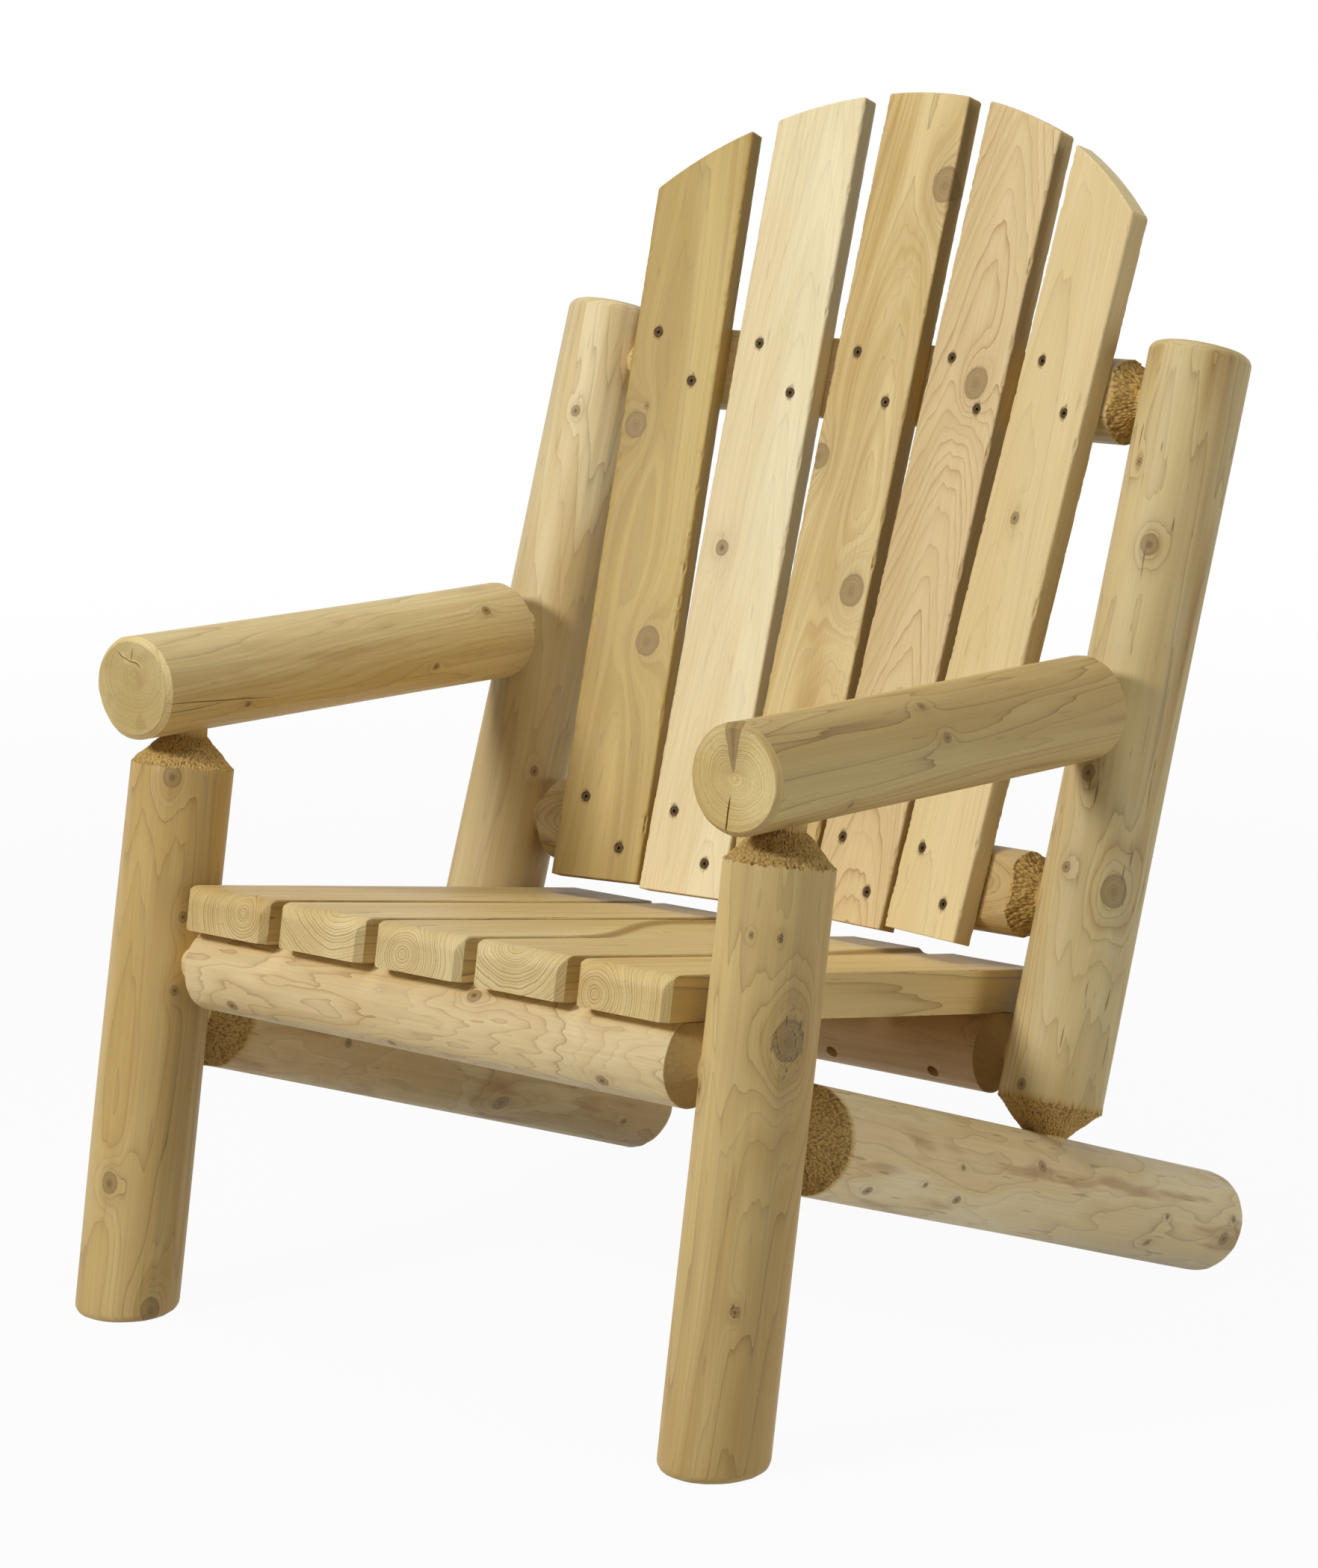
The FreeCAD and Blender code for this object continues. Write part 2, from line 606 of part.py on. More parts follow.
def seat_board(label, frame):
    body = doc.addObject("PartDesign::Body", label + "_board")
    sketch = new_sketch(body, label + "_side", "YZ_Plane")
    polygon(sketch, [(None, None), ("seat_slat_length", None), ("seat_slat_length", "seat_slat_thick"),
                     (None, "seat_slat_thick")])
    pad = body.newObject("PartDesign::Pad", label + "_pad")
    pad.Profile = sketch
    bind(pad, "Length", "seat_slat_width")
    doc.recompute()
    nose = []
    for number, edge in enumerate(pad.Shape.Edges, start=1):
        box = edge.BoundBox
        if box.YMax < 0.01 and box.ZMin > size["seat_slat_thick"] - 0.01:
            nose.append("Edge%d" % number)
    ease = body.newObject("PartDesign::Fillet", label + "_nose")
    ease.Base = (pad, nose)
    bind(ease, "Radius", "seat_round")
    doc.recompute()
    clip_corner(body, label + "_left_corner", [(None, None), ("seat_corner", None), (None, "seat_corner")])
    clip_corner(body, label + "_right_corner", [("seat_slat_width", None), ("seat_slat_width", "seat_corner"),
                                                ("seat_corner_far", None)])
    return put(body, frame)


def seat_screw_place(rail_at, x, inner):
    """Screw that rises through a seat rail from its inner side; inner is +1 where that side is the rear."""
    entry = math.radians(POCKET_ENTRY)
    level = seat_way * (inner * math.cos(entry) * size["cross_r"])
    mouth = rail_at + rightward * x + level - seat_normal * pocket_mouth
    tilt = rad("seat_screw_angle")
    along = seat_normal * math.cos(tilt) - seat_way * (inner * math.sin(tilt))
    return frame_at(mouth + along * size["pocket_depth"], along, rightward)


seat_rails = {"front_seat_rail": (front_rail_at, 1), "rear_seat_rail": (rear_rail_at, -1)}
seat_rail_screws = {"front_seat_rail": [], "rear_seat_rail": []}
for number in range(1, SEAT_SLATS + 1):
    x = (number - (SEAT_SLATS + 1) / 2) * size["seat_slat_pitch"]
    label = "seat_slat_%d" % number
    corner = front_rail_at + seat_normal * size["seat_flat"] - seat_way * size["seat_front"]
    corner = corner + rightward * (x - size["seat_slat_width"] / 2)
    frame = frame_at(corner, seat_normal, rightward)
    board = seat_board(label, frame)
    screws = []
    for rail, (rail_at, inner) in seat_rails.items():
        place = seat_screw_place(rail_at, x, inner)
        screws.append(place)
        seat_rail_screws[rail].append(place)
    bores = copies(label + "_bores", seat_bore, bore_places(screws))
    cut_node(label, board, [bores])

# Cross rails: hollowed for the back slats, flattened for the seat slats, drilled for their screws

for rail in ("upper_back_rail", "lower_back_rail"):
    log = put(turned(rail + "_log", CROSS_PROFILE), cross_frames[rail])
    bores = copies(rail + "_bores", back_bore, bore_places(back_rail_screws[rail]))
    cut_node(rail, log, back_rail_cutters[rail] + [bores])

for rail, (rail_at, inner) in seat_rails.items():
    log = put(turned(rail + "_log", CROSS_PROFILE), cross_frames[rail])
    flat_frame = frame_at(rail_at, seat_normal, rightward)
    flat = block(rail + "_flat", flat_frame, (-size["frame_width"] / 2, -100, size["seat_flat"]),
                 (size["frame_width"] / 2, 100, size["seat_flat"] + 100))
    bores = copies(rail + "_bores", seat_bore, bore_places(seat_rail_screws[rail]))
    pockets = []
    for number, place in enumerate(seat_rail_screws[rail], start=1):
        pockets.append(drill("%s_pocket_%d" % (rail, number), place, -size["pocket_depth"] - 30.0,
                             size["pocket_depth"] + 30.0, "pocket_r"))
    cut_node(rail, log, [flat, bores] + pockets)

screw_node("back_screws_upper", back_screw, back_rail_screws["upper_back_rail"])
screw_node("back_screws_lower", back_screw, back_rail_screws["lower_back_rail"])
screw_node("seat_screws_front", seat_screw, seat_rail_screws["front_seat_rail"])
screw_node("seat_screws_rear", seat_screw, seat_rail_screws["rear_seat_rail"])
doc.recompute()

# Centre the chair over the origin, with its feet at zero height

boxes = [node.Shape.optimalBoundingBox(False, False) for node in nodes]
low_y = min(box.YMin for box in boxes)
high_y = max(box.YMax for box in boxes)
centring = FreeCAD.Placement(Vector(0, -(low_y + high_y) / 2, 0), FreeCAD.Rotation())
for item in placed:
    item.Placement = centring.multiply(item.Placement)
doc.recompute()

# Check and write every piece

for item in doc.Objects:
    if "Invalid" in item.State or "Error" in item.State:
        raise RuntimeError("%s: %s" % (item.Label, item.State))
os.makedirs("parts", exist_ok=True)
for node in nodes:
    shape = node.Shape
    if shape.isNull() or not shape.isValid() or not shape.Solids:
        raise RuntimeError("bad shape: " + node.Label)
    shape.exportStep("parts/%s.step" % node.Label)
    box = shape.optimalBoundingBox(False, False)
    print("%-20s solids %2d volume %10.0f  x %7.1f %7.1f  y %7.1f %7.1f  z %7.1f %7.1f" % (
        node.Label, len(shape.Solids), shape.Volume, box.XMin, box.XMax, box.YMin, box.YMax, box.ZMin, box.ZMax))
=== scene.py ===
# %% [markdown]
# A log armchair. Peeled round logs make the frame, and planed boards make the seat and the fanned back.
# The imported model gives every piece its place. This lesson dresses those pieces as real cedar: logs that are
# not quite round, shoulders torn by a tenon cutter, boards with eased edges, and wood that has grown in rings.

# %% Load the frame
import json
import math

import bpy
from mathutils import Matrix, Vector, noise


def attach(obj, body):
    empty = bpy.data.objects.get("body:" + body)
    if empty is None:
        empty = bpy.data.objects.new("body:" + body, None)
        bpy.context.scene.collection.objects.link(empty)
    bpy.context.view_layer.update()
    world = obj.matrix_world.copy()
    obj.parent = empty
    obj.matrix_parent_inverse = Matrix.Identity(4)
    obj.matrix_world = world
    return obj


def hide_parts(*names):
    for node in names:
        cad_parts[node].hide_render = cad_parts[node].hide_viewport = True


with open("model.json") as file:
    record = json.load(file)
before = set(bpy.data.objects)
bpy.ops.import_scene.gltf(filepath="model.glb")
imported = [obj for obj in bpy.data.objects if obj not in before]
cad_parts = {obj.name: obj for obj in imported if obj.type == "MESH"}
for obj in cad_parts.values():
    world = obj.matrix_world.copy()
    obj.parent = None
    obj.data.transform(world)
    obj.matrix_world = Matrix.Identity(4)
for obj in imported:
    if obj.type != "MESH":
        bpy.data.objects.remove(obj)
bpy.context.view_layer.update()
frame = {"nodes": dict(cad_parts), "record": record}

# %% [markdown]
# The chair's own sizes, in metres. Two angles shape the side frames: the front legs lean back a little and the
# rear posts lean back more. The side rails stand square to the posts and the seat stands square to the legs,
# so most directions come from these two. The left foot's mount says where the leg's axis meets the floor.

# %% Sizes and directions
LOG_R, CROSS_R, TENON_R, TENON_DEPTH = 0.047, 0.039, 0.019, 0.045
LEG_LEAN, POST_LEAN, ARM_DROP = (math.radians(angle) for angle in (9.8, 18.8, 1.0))
ARM_HEIGHT, ARM_OVERHANG, ARM_GAP = 0.572, 0.075, 0.014
POST_FOOT, POST_TOP = 0.412, 0.917
SIDE_RAIL_HEIGHT, SEAT_RAIL_HEIGHT = 0.2785, 0.322
foot_mount = next(m for m in frame["record"]["mounts"] if m["name"] == "foot_left")
HALF_WIDTH = -foot_mount["pos_m"][0]
FLOOR_POINT = Vector((0, foot_mount["pos_m"][1], 0))
SIDES = ((-1, "left"), (1, "right"))


def leaning(angle):
    """Direction that rises and leans to the rear."""
    return Vector((0, math.sin(angle), math.cos(angle)))


def falling(angle):
    """Direction that runs to the rear and drops."""
    return Vector((0, math.cos(angle), -math.sin(angle)))


def stand(start, along, across=Vector((1, 0, 0))):
    """Frame of a piece: local Z runs along its grain, local X points across."""
    side = along.cross(across)
    turn = Matrix((across, side, along)).transposed().to_4x4()
    return Matrix.Translation(start) @ turn


def to_line(start, way, base, line_way):
    """Distance from start along way to a line in the same upright plane."""
    normal = Vector((0, line_way.z, -line_way.y))
    return (base - start).dot(normal) / way.dot(normal)


def drift_of(seed, paces):
    """Place in the noise that belongs to one piece."""
    return Vector([seed * pace for pace in paces])


def quarter(steps, first=0):
    """Angles of a quarter turn, from a first one in degrees."""
    return [math.radians(first + 90 * i / steps) for i in range(steps + 1)]


def whole_turn(sides):
    """Angles round a circle."""
    return [2 * math.pi * i / sides for i in range(sides)]


RIGHT, UP = Vector((1, 0, 0)), Vector((0, 0, 1))
leg_way, post_way = leaning(LEG_LEAN), leaning(POST_LEAN)
rail_way, arm_way, seat_way = falling(POST_LEAN), falling(ARM_DROP), falling(LEG_LEAN)
seat_up, post_front = leg_way, -rail_way
post_base = FLOOR_POINT + Vector((0, POST_FOOT, 0))
arm_front = FLOOR_POINT + leg_way * (ARM_HEIGHT / leg_way.z) - arm_way * ARM_OVERHANG
rail_at_leg = FLOOR_POINT + leg_way * (SIDE_RAIL_HEIGHT / leg_way.z)
front_rail_at = FLOOR_POINT + leg_way * (SEAT_RAIL_HEIGHT / leg_way.z)
print("half width", HALF_WIDTH, "arm front", [round(v, 4) for v in arm_front])

# %% [markdown]
# The camera stands a little above the arms and to the right of the chair's front, and has a long lens. A long
# lens keeps the logs' edges nearly parallel. The place is found from an angle round the chair, an angle above
# level and a distance, which are easier to read than a point in space.

# %% Camera
VIEW_TURN, VIEW_RISE, VIEW_DISTANCE = 39.13, 10.97, 4.2026
VIEW_CENTRE = Vector((0, -0.0158, 0.4793))
FOCAL_PIXELS, PICTURE_HEIGHT, SENSOR = 6190.0, 2098, 36.0


def toward(turn, rise):
    """Direction away from the chair, by degrees to the right of its front and above level."""
    turn, rise = math.radians(turn), math.radians(rise)
    return Vector((math.sin(turn) * math.cos(rise), -math.cos(turn) * math.cos(rise), math.sin(rise)))


def put(name, data):
    """New object in the scene."""
    made = bpy.data.objects.new(name, data)
    bpy.context.scene.collection.objects.link(made)
    return made


def put_looking(name, data, place, way):
    """Camera or lamp at a place, looking one way."""
    made = put(name, data)
    made.location = place
    made.rotation_mode = "QUATERNION"
    made.rotation_quaternion = way.to_track_quat("-Z", "Y")
    return made


camera_data = bpy.data.cameras.new("camera")
camera_data.sensor_width = SENSOR
camera_data.lens = FOCAL_PIXELS / PICTURE_HEIGHT * SENSOR
to_eye = toward(VIEW_TURN, VIEW_RISE)
bpy.context.scene.camera = put_looking("camera", camera_data, VIEW_CENTRE + to_eye * VIEW_DISTANCE, -to_eye)
print("lens", round(camera_data.lens, 1), "mm")

# %% [markdown]
# A material here is a small web of nodes. These helpers keep the web readable. What a node gives is a Value,
# and a sum written with Values adds the nodes that work it out. Other helpers stretch a range, mix colours and
# make noise. Colours are written as screen values from 0 to 255 and turned into the linear values that light
# needs.

# %% Node helpers
WHITE = (1, 1, 1, 1)


def tint(red, green, blue):
    """Linear colour from screen values of 0 to 255."""
    def linear(value):
        value /= 255
        return value / 12.92 if value <= 0.04045 else ((value + 0.055) / 1.055) ** 2.4

    return linear(red), linear(green), linear(blue), 1.0


class Value:
    """One output of a node. Sums with it add nodes, so a web of nodes reads like plain arithmetic."""

    def __init__(self, tree, socket):
        self.tree, self.socket = tree, socket

    def does(self, operation, *others, clamp=False):
        """This value in a math node, or in a vector math node if it is a vector."""
        inputs = dict(enumerate((self, *others)))
        if self.socket.type == "VALUE":
            return add(self.tree, "ShaderNodeMath", inputs, operation=operation, use_clamp=clamp)[0]
        made = add(self.tree, "ShaderNodeVectorMath", inputs, operation=operation)
        return made["Value" if operation in ("DOT_PRODUCT", "LENGTH") else "Vector"]

    def __add__(self, other):
        return self.does("ADD", other)

    def __sub__(self, other):
        return self.does("SUBTRACT", other)

    def __mul__(self, other):
        return self.does("MULTIPLY", other)

    def __truediv__(self, other):
        return self.does("DIVIDE", other)

    def __pow__(self, other):
        return self.does("POWER", other)


class Outputs:
    """What a node gives, by name or number."""

    def __init__(self, tree, node):
        self.tree, self.node = tree, node

    def __getitem__(self, name):
        return Value(self.tree, self.node.outputs[name])


def feed(tree, node, inputs):
    """Set a node's inputs, or join them to other nodes."""
    for name, value in inputs.items():
        if isinstance(value, Value):
            tree.links.new(value.socket, node.inputs[name])
        else:
            node.inputs[name].default_value = value


def add(tree, kind, inputs=None, **settings):
    """New node, as its outputs."""
    made = tree.nodes.new(kind)
    for name, value in settings.items():
        setattr(made, name, value)
    feed(tree, made, inputs or {})
    return Outputs(tree, made)


def joined(tree, **axes):
    """Vector from single values, named X, Y or Z."""
    return add(tree, "ShaderNodeCombineXYZ", axes)[0]


def spread(value, low, high, to_low=0.0, to_high=1.0):
    """Smooth step of a value from one range to another."""
    inputs = {"Value": value, "From Min": low, "From Max": high, "To Min": to_low, "To Max": to_high}
    return add(value.tree, "ShaderNodeMapRange", inputs, interpolation_type="SMOOTHSTEP")["Result"]


def mix(share, first, second, blend="MIX"):
    tree = next(value.tree for value in (share, first, second) if isinstance(value, Value))
    return add(tree, "ShaderNodeMix", {0: share, 6: first, 7: second}, data_type="RGBA", blend_type=blend)[2]


def clouds(place, stretch, shift=(0, 0, 0), detail=2.0, output="Fac"):
    """Smooth noise over a place stretched along the grain, from 0 to 1."""
    inputs = {"Vector": place * stretch + shift, "Scale": 1.0, "Detail": detail}
    return add(place.tree, "ShaderNodeTexNoise", inputs)[output]


def new_group(name, inputs, outputs):
    """Empty node group, what it is given and the node that takes its results."""
    group = bpy.data.node_groups.new(name, "ShaderNodeTree")
    for title, kind in inputs.items():
        group.interface.new_socket(title, in_out="INPUT", socket_type="NodeSocket" + kind)
    for title in outputs:
        group.interface.new_socket(title, in_out="OUTPUT", socket_type="NodeSocketFloat")
    return group, add(group, "NodeGroupInput"), group.nodes.new("NodeGroupOutput")


def new_material(name):
    material = bpy.data.materials.new(name)
    material.use_nodes = True
    return material, material.node_tree, material.node_tree.nodes["Principled BSDF"]


print("white in linear light", tint(255, 255, 255))

# %% [markdown]
# Wood is a stack of cones, one for each year. The group below measures how far a point lies from the pith,
# bends that distance with slow noise drawn out along the grain, and cuts it into years. On a log's end this
# gives rings, on its peeled side flames, and on a board's face arches, all from one solid, so the grain runs
# round every edge. It also gives slow changes of tone, fine fibres and small flecks.

# %% Growth rings
WAVES = (((15, 15, 1.2), 1.0), ((50, 50, 3.0), 0.22), ((160, 160, 9.0), 0.025), ((420, 420, 20.0), 0.008))
SWAY, TONES, FIBRES, FLECKS = (0, 0, 1.3), (11, 11, 1.5), (480, 480, 8.0), (210, 210, 22.0)
PACE, PACE_SHARE, PATCH_PACE = 75.0, 1.6, 0.9
LATE_EDGE, LATE_FADE, FADE_POWER = 0.7, 0.3, 3.0
FLECK_RANGE, PATCH_RANGE = (0.69, 0.76), (0.25, 0.75)
growth, given, result = new_group(
    "growth_rings",
    {"Place": "Vector", "Pith": "Vector", "Shift": "Vector", "Swirl": "Float", "Ring": "Float",
     "Wander": "Float", "Warp": "Float", "Along": "Float", "Taper": "Float", "Thin": "Float"},
    ("Late", "Year", "Patch", "Tone", "Fibre", "Fleck"))
place, shift = given["Place"], given["Shift"]
sway = clouds(place, SWAY, shift, 0.0, "Color") - (0.5, 0.5, 0.5)
from_pith = place - given["Pith"] - sway * given["Wander"]
reach = (from_pith * (1, 1, 0)).does("LENGTH")
curled = place * joined(growth, X=1.0, Y=1.0, Z=given["Along"])
for stretch, weight in WAVES:
    reach += (clouds(curled, stretch, shift) - 0.5) * given["Warp"] * weight
height = add(growth, "ShaderNodeSeparateXYZ", {0: place})["Z"]
reach += height * given["Taper"] + given["Swirl"]
pace = clouds(joined(growth, X=reach), (PACE, 1, 1), shift)
years = reach / given["Ring"] + pace * PACE_SHARE
season = years.does("FRACT")
year = add(growth, "ShaderNodeTexWhiteNoise", {"W": years.does("FLOOR")}, noise_dimensions="1D")
patch = clouds(joined(growth, Y=years), (1, PATCH_PACE, 1), shift, 0.0)
feed(growth, result, {
    "Late": season ** given["Thin"] * LATE_EDGE + season ** FADE_POWER * LATE_FADE,
    "Year": year["Value"],
    "Patch": spread(patch, *PATCH_RANGE),
    "Tone": clouds(place, TONES, shift, 3.0),
    "Fibre": clouds(place, FIBRES, shift, 4.0),
    "Fleck": spread(clouds(place, FLECKS, shift, 1.0), *FLECK_RANGE),
})
print("growth rings", len(growth.nodes), "nodes")

# %% [markdown]
# A knot is the root of a branch: a small round trunk of its own, darker and harder, that the rings flow round.
# This group gives a knot's heart, the dark line round it, and a swirl that lifts the rings near it. A knot
# belongs to one side of a log only: it narrows inwards like a cone and ends at the pith, which a sawn end can
# show.

# %% Knots
KNOT_DEPTH, KNOT_LEAST, KNOT_MOST = 0.045, 0.05, 1.1
KNOT_ROUND, FLOW_ROUND = (1, 1, 0.86), (1, 1, 0.5)
UNEVEN, UNEVEN_SHARE = (130, 130, 130), 0.25
EDGE_THIN, HALO_FADE, CROWD_FADE, KNOT_YEARS = 6.5, -0.3, -0.8, 3.6
SIZE_TO_DARK = (0.006, 0.010, 0.85, 0.25)
NEAR_SIDE, HEART_RANGE, MIDDLE_RANGE = (0.0, 0.12), (1.12, 0.85), (0.6, 0.1)
knot, given, result = new_group(
    "knot", {"Place": "Vector", "Centre": "Vector", "Aim": "Vector", "Size": "Float", "Crowd": "Float"},
    ("Swirl", "Heart", "Edge", "Halo", "Years", "Middle"))
place, size = given["Place"], given["Size"]
offset = place - given["Centre"]
depth = offset.does("DOT_PRODUCT", given["Aim"])
aside = offset - given["Aim"] * depth
taper = depth / KNOT_DEPTH + 1.0
near_side = spread(taper, *NEAR_SIDE)
wide = size * taper.does("MAXIMUM", KNOT_LEAST).does("MINIMUM", KNOT_MOST)
uneven = (clouds(place, UNEVEN, detail=4.0) - 0.5) * size * UNEVEN_SHARE
share = ((aside * KNOT_ROUND).does("LENGTH") + uneven) / wide
edge = ((share - 1.0).does("ABSOLUTE") * -EDGE_THIN).does("ADD", 1.0, clamp=True)
flow = (aside * FLOW_ROUND).does("LENGTH") / size
feed(knot, result, {
    "Swirl": (flow * CROWD_FADE).does("EXPONENT") * near_side * size * given["Crowd"],
    "Heart": spread(share, *HEART_RANGE) * near_side,
    "Edge": edge * near_side,
    "Halo": (flow * flow * HALO_FADE).does("EXPONENT") * near_side,
    "Years": (share * KNOT_YEARS).does("FRACT"),
    "Middle": spread(share, *MIDDLE_RANGE) * near_side * spread(size, *SIZE_TO_DARK),
})
print("knot", len(knot.nodes), "nodes")

# %% [markdown]
# Where a screw was driven, the wood round its head is bruised and a little torn along the grain. A third small
# group darkens that spot. It is the knot's idea again, with a ragged edge and no rings.

# %% Screw bruises
BRUISE_REACH, BRUISE_CORE, BRUISE_RAGGED = 0.0056, 0.6, 0.006
BRUISE_GRAIN, BRUISE_ROUND = (700, 700, 180), (1, 1, 0.62)
bruise, given, result = new_group("bruise", {"Place": "Vector", "Centre": "Vector"}, ("Mark",))
place = given["Place"]
ragged = (clouds(place, BRUISE_GRAIN, detail=3.0) - 0.5) * BRUISE_RAGGED
distance = ((place - given["Centre"]) * BRUISE_ROUND).does("LENGTH") + ragged
feed(bruise, result, {"Mark": spread(distance, BRUISE_REACH, BRUISE_CORE * BRUISE_REACH)})
print("bruise", len(bruise.nodes), "nodes")

# %% [markdown]
# Cedar puts these together. Each log and board gets its own cedar, because no two grew alike: its pith, its
# tone, how tight its rings are, and where its branches were. Brown stains and flecks come from sap and bark.
# Torn end grain is browner, and the deep crevices between its clumps are darkened with painted shade; the mesh
# says where it is torn, how much painted shade each point takes and where a sawn end shows. Roughness and a
# fine bump come from the same fibres.

# %% Cedar
LOG_PALE, LOG_DEEP, LOG_LINE = tint(214, 190, 136), tint(192, 160, 102), tint(128, 94, 50)
HEART_WOOD, HEART_DARK, KNOT_LINE = tint(160, 132, 82), tint(138, 110, 65), tint(92, 68, 37)
# The second torn colour is painted shade: the deep crevices of torn end grain take it, and boards use it for
# shaded edges.
TORN_WOOD, TORN_PIT_SHADE = tint(214, 179, 108), tint(104, 72, 33)
BRUISE_WOOD, GOUGE_DARK, STAIN = tint(84, 58, 30), tint(98, 72, 40), tint(150, 96, 40)
GRAIN = dict(ring=0.0019, wander=0.016, warp=0.016, along=1.2, taper=0.01, thin=11.0)
TONE_RANGE, FAINT_YEAR, END_CONTRAST = (0.33, 0.67), 0.2, 0.7
STAINS, STAIN_RANGE = (42, 42, 9), (0.56, 0.72)
GOUGES, GOUGE_RANGE, GOUGE_REACH = (330, 330, 150), (0.57, 0.63), (0.58, 0.82)
SPECKS, GRIT_RANGE = (700, 700, 700), (0.9, 1.0, 0.2, 1.3)
HALO_SHARE, HEART_SHARE, EDGE_SHARE, BRUISE_SHARE = 0.22, 0.75, 0.55, 0.6
FIBRE_TONE, FIBRE_ROUGH, TORN_ROUGH, SHEEN = (0.3, 0.85), (0.16, 0.44), 0.35, 0.35
LINE_RELIEF, BUMP_STRENGTH, BUMP_HEIGHT, WOOD_DRIFT = 0.5, 0.2, 0.0008, (3.7, 1.9, 5.3)


def cedar(name, seed, pale=LOG_PALE, deep=LOG_DEEP, line=LOG_LINE, line_share=0.85, patch=0.5, pith=(0, 0),
          knots=(), screws=(), crowd=1.1, fleck=0.2, smudge=0.0, gouged=0.0, end_tone=WHITE, **grain):
    """Material of one log or board; grain takes the place of values in GRAIN."""
    material, tree, surface = new_material(name)
    place = add(tree, "ShaderNodeTexCoord")["Object"]
    torn, pit_shade, end = (add(tree, "ShaderNodeAttribute", attribute_name=title)["Fac"]
                      for title in ("torn", "pit_shade", "end"))
    swirl = heart = edge = halo = middle = knot_years = 0.0
    for centre, aim, size in knots:
        inputs = {"Place": place, "Centre": centre, "Aim": aim, "Size": size, "Crowd": crowd}
        found = add(tree, "ShaderNodeGroup", inputs, node_tree=knot)
        swirl = found["Swirl"] + swirl
        heart = found["Heart"].does("MAXIMUM", heart)
        edge = found["Edge"].does("MAXIMUM", edge)
        halo = found["Halo"].does("MAXIMUM", halo)
        middle = found["Middle"].does("MAXIMUM", middle)
        knot_years = (found["Years"] * found["Heart"]).does("MAXIMUM", knot_years)
    inputs = {"Place": place, "Pith": (*pith, 0), "Shift": drift_of(seed, WOOD_DRIFT), "Swirl": swirl}
    inputs.update((title.capitalize(), value) for title, value in {**GRAIN, **grain}.items())
    grown = add(tree, "ShaderNodeGroup", inputs, node_tree=growth)
    tone = spread(grown["Tone"], *TONE_RANGE).does("ADD", (grown["Patch"] - 0.5) * patch, clamp=True)
    colour = mix(tone, pale, deep)
    dark_year = grown["Year"] * (1 - FAINT_YEAR) + FAINT_YEAR
    late = grown["Late"] * dark_year * line_share
    late = late.does("MULTIPLY", end * END_CONTRAST + 1.0, clamp=True)
    colour = mix(late, colour, line)
    colour = mix(grown["Fleck"] * fleck, colour, line)
    stain = spread(clouds(place, STAINS, (seed, 0, seed)), *STAIN_RANGE)
    colour = mix(stain * smudge, colour, STAIN)
    fibre = grown["Fibre"].does("MULTIPLY_ADD", *FIBRE_TONE)
    fibre = add(tree, "ShaderNodeCombineColor", {0: fibre, 1: fibre, 2: fibre})[0]
    colour = mix(1.0, colour, fibre, "MULTIPLY")
    colour = mix(end, colour, mix(1.0, colour, end_tone, "MULTIPLY"))
    if knots:
        gouge = spread(clouds(place, GOUGES, (seed, 0, 0)), *GOUGE_RANGE) * spread(halo, *GOUGE_REACH)
        colour = mix(halo * HALO_SHARE, colour, line)
        colour = mix(heart * HEART_SHARE, colour, mix(knot_years, HEART_WOOD, HEART_DARK))
        colour = mix(middle, colour, KNOT_LINE)
        colour = mix(edge * EDGE_SHARE, colour, KNOT_LINE)
        colour = mix(gouge * gouged, colour, GOUGE_DARK)
    for centre in screws:
        found = add(tree, "ShaderNodeGroup", {"Place": place, "Centre": centre}, node_tree=bruise)
        colour = mix(found["Mark"] * BRUISE_SHARE, colour, BRUISE_WOOD)
    speck = clouds(place, SPECKS, (seed, 0, 0), 3.0)
    # Painted shade: the deep crevices of torn end grain darken, broken up by grit specks.
    hollow = pit_shade.does("ADD", (speck - 0.5) * spread(torn, *GRIT_RANGE), clamp=True)
    colour = mix(torn, colour, mix(hollow, TORN_WOOD, TORN_PIT_SHADE))
    relief = grown["Fibre"] + late * LINE_RELIEF + torn * speck
    inputs = {"Strength": BUMP_STRENGTH, "Distance": BUMP_HEIGHT, "Height": relief}
    feed(tree, surface, {
        "Base Color": colour,
        "Roughness": torn * TORN_ROUGH + grown["Fibre"].does("MULTIPLY_ADD", *FIBRE_ROUGH),
        "Specular IOR Level": SHEEN,
        "Normal": add(tree, "ShaderNodeBump", inputs)["Normal"],
    })
    return material


print("cedar grain", GRAIN)

# %% [markdown]
# Every piece ends the same way: its points and faces become a mesh, the mesh gets its finish and place, it
# rides on the chair's one body, and the plain solid of its name is hidden. Edges sharper than about forty
# degrees stay crisp and the rest shade smoothly. Holes and cracks are cut with closed shapes.

# %% Finish a piece
CRISP = math.radians(38)
END_FROM, END_SPAN = 0.78, 0.17


def new_mesh(name, points, faces):
    mesh = bpy.data.meshes.new(name)
    mesh.from_pydata(points, [], faces)
    return mesh


def finish_piece(node, points, faces, place, material, torn, pit_shade):
    mesh = new_mesh(node + "_wood", points, faces)
    ends = [min(1.0, max(0.0, (abs(normal.vector.z) - END_FROM) / END_SPAN))
            for normal in mesh.vertex_normals]
    for name, values in (("torn", torn), ("pit_shade", pit_shade), ("end", ends)):
        mesh.attributes.new(name, "FLOAT", "POINT").data.foreach_set("value", values)
    piece = put(node + "_wood", mesh)
    piece.matrix_world = place
    mesh.materials.append(material)
    mesh.shade_smooth()
    mesh.set_sharp_from_angle(angle=CRISP)
    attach(piece, "root")
    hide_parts(node)
    return piece


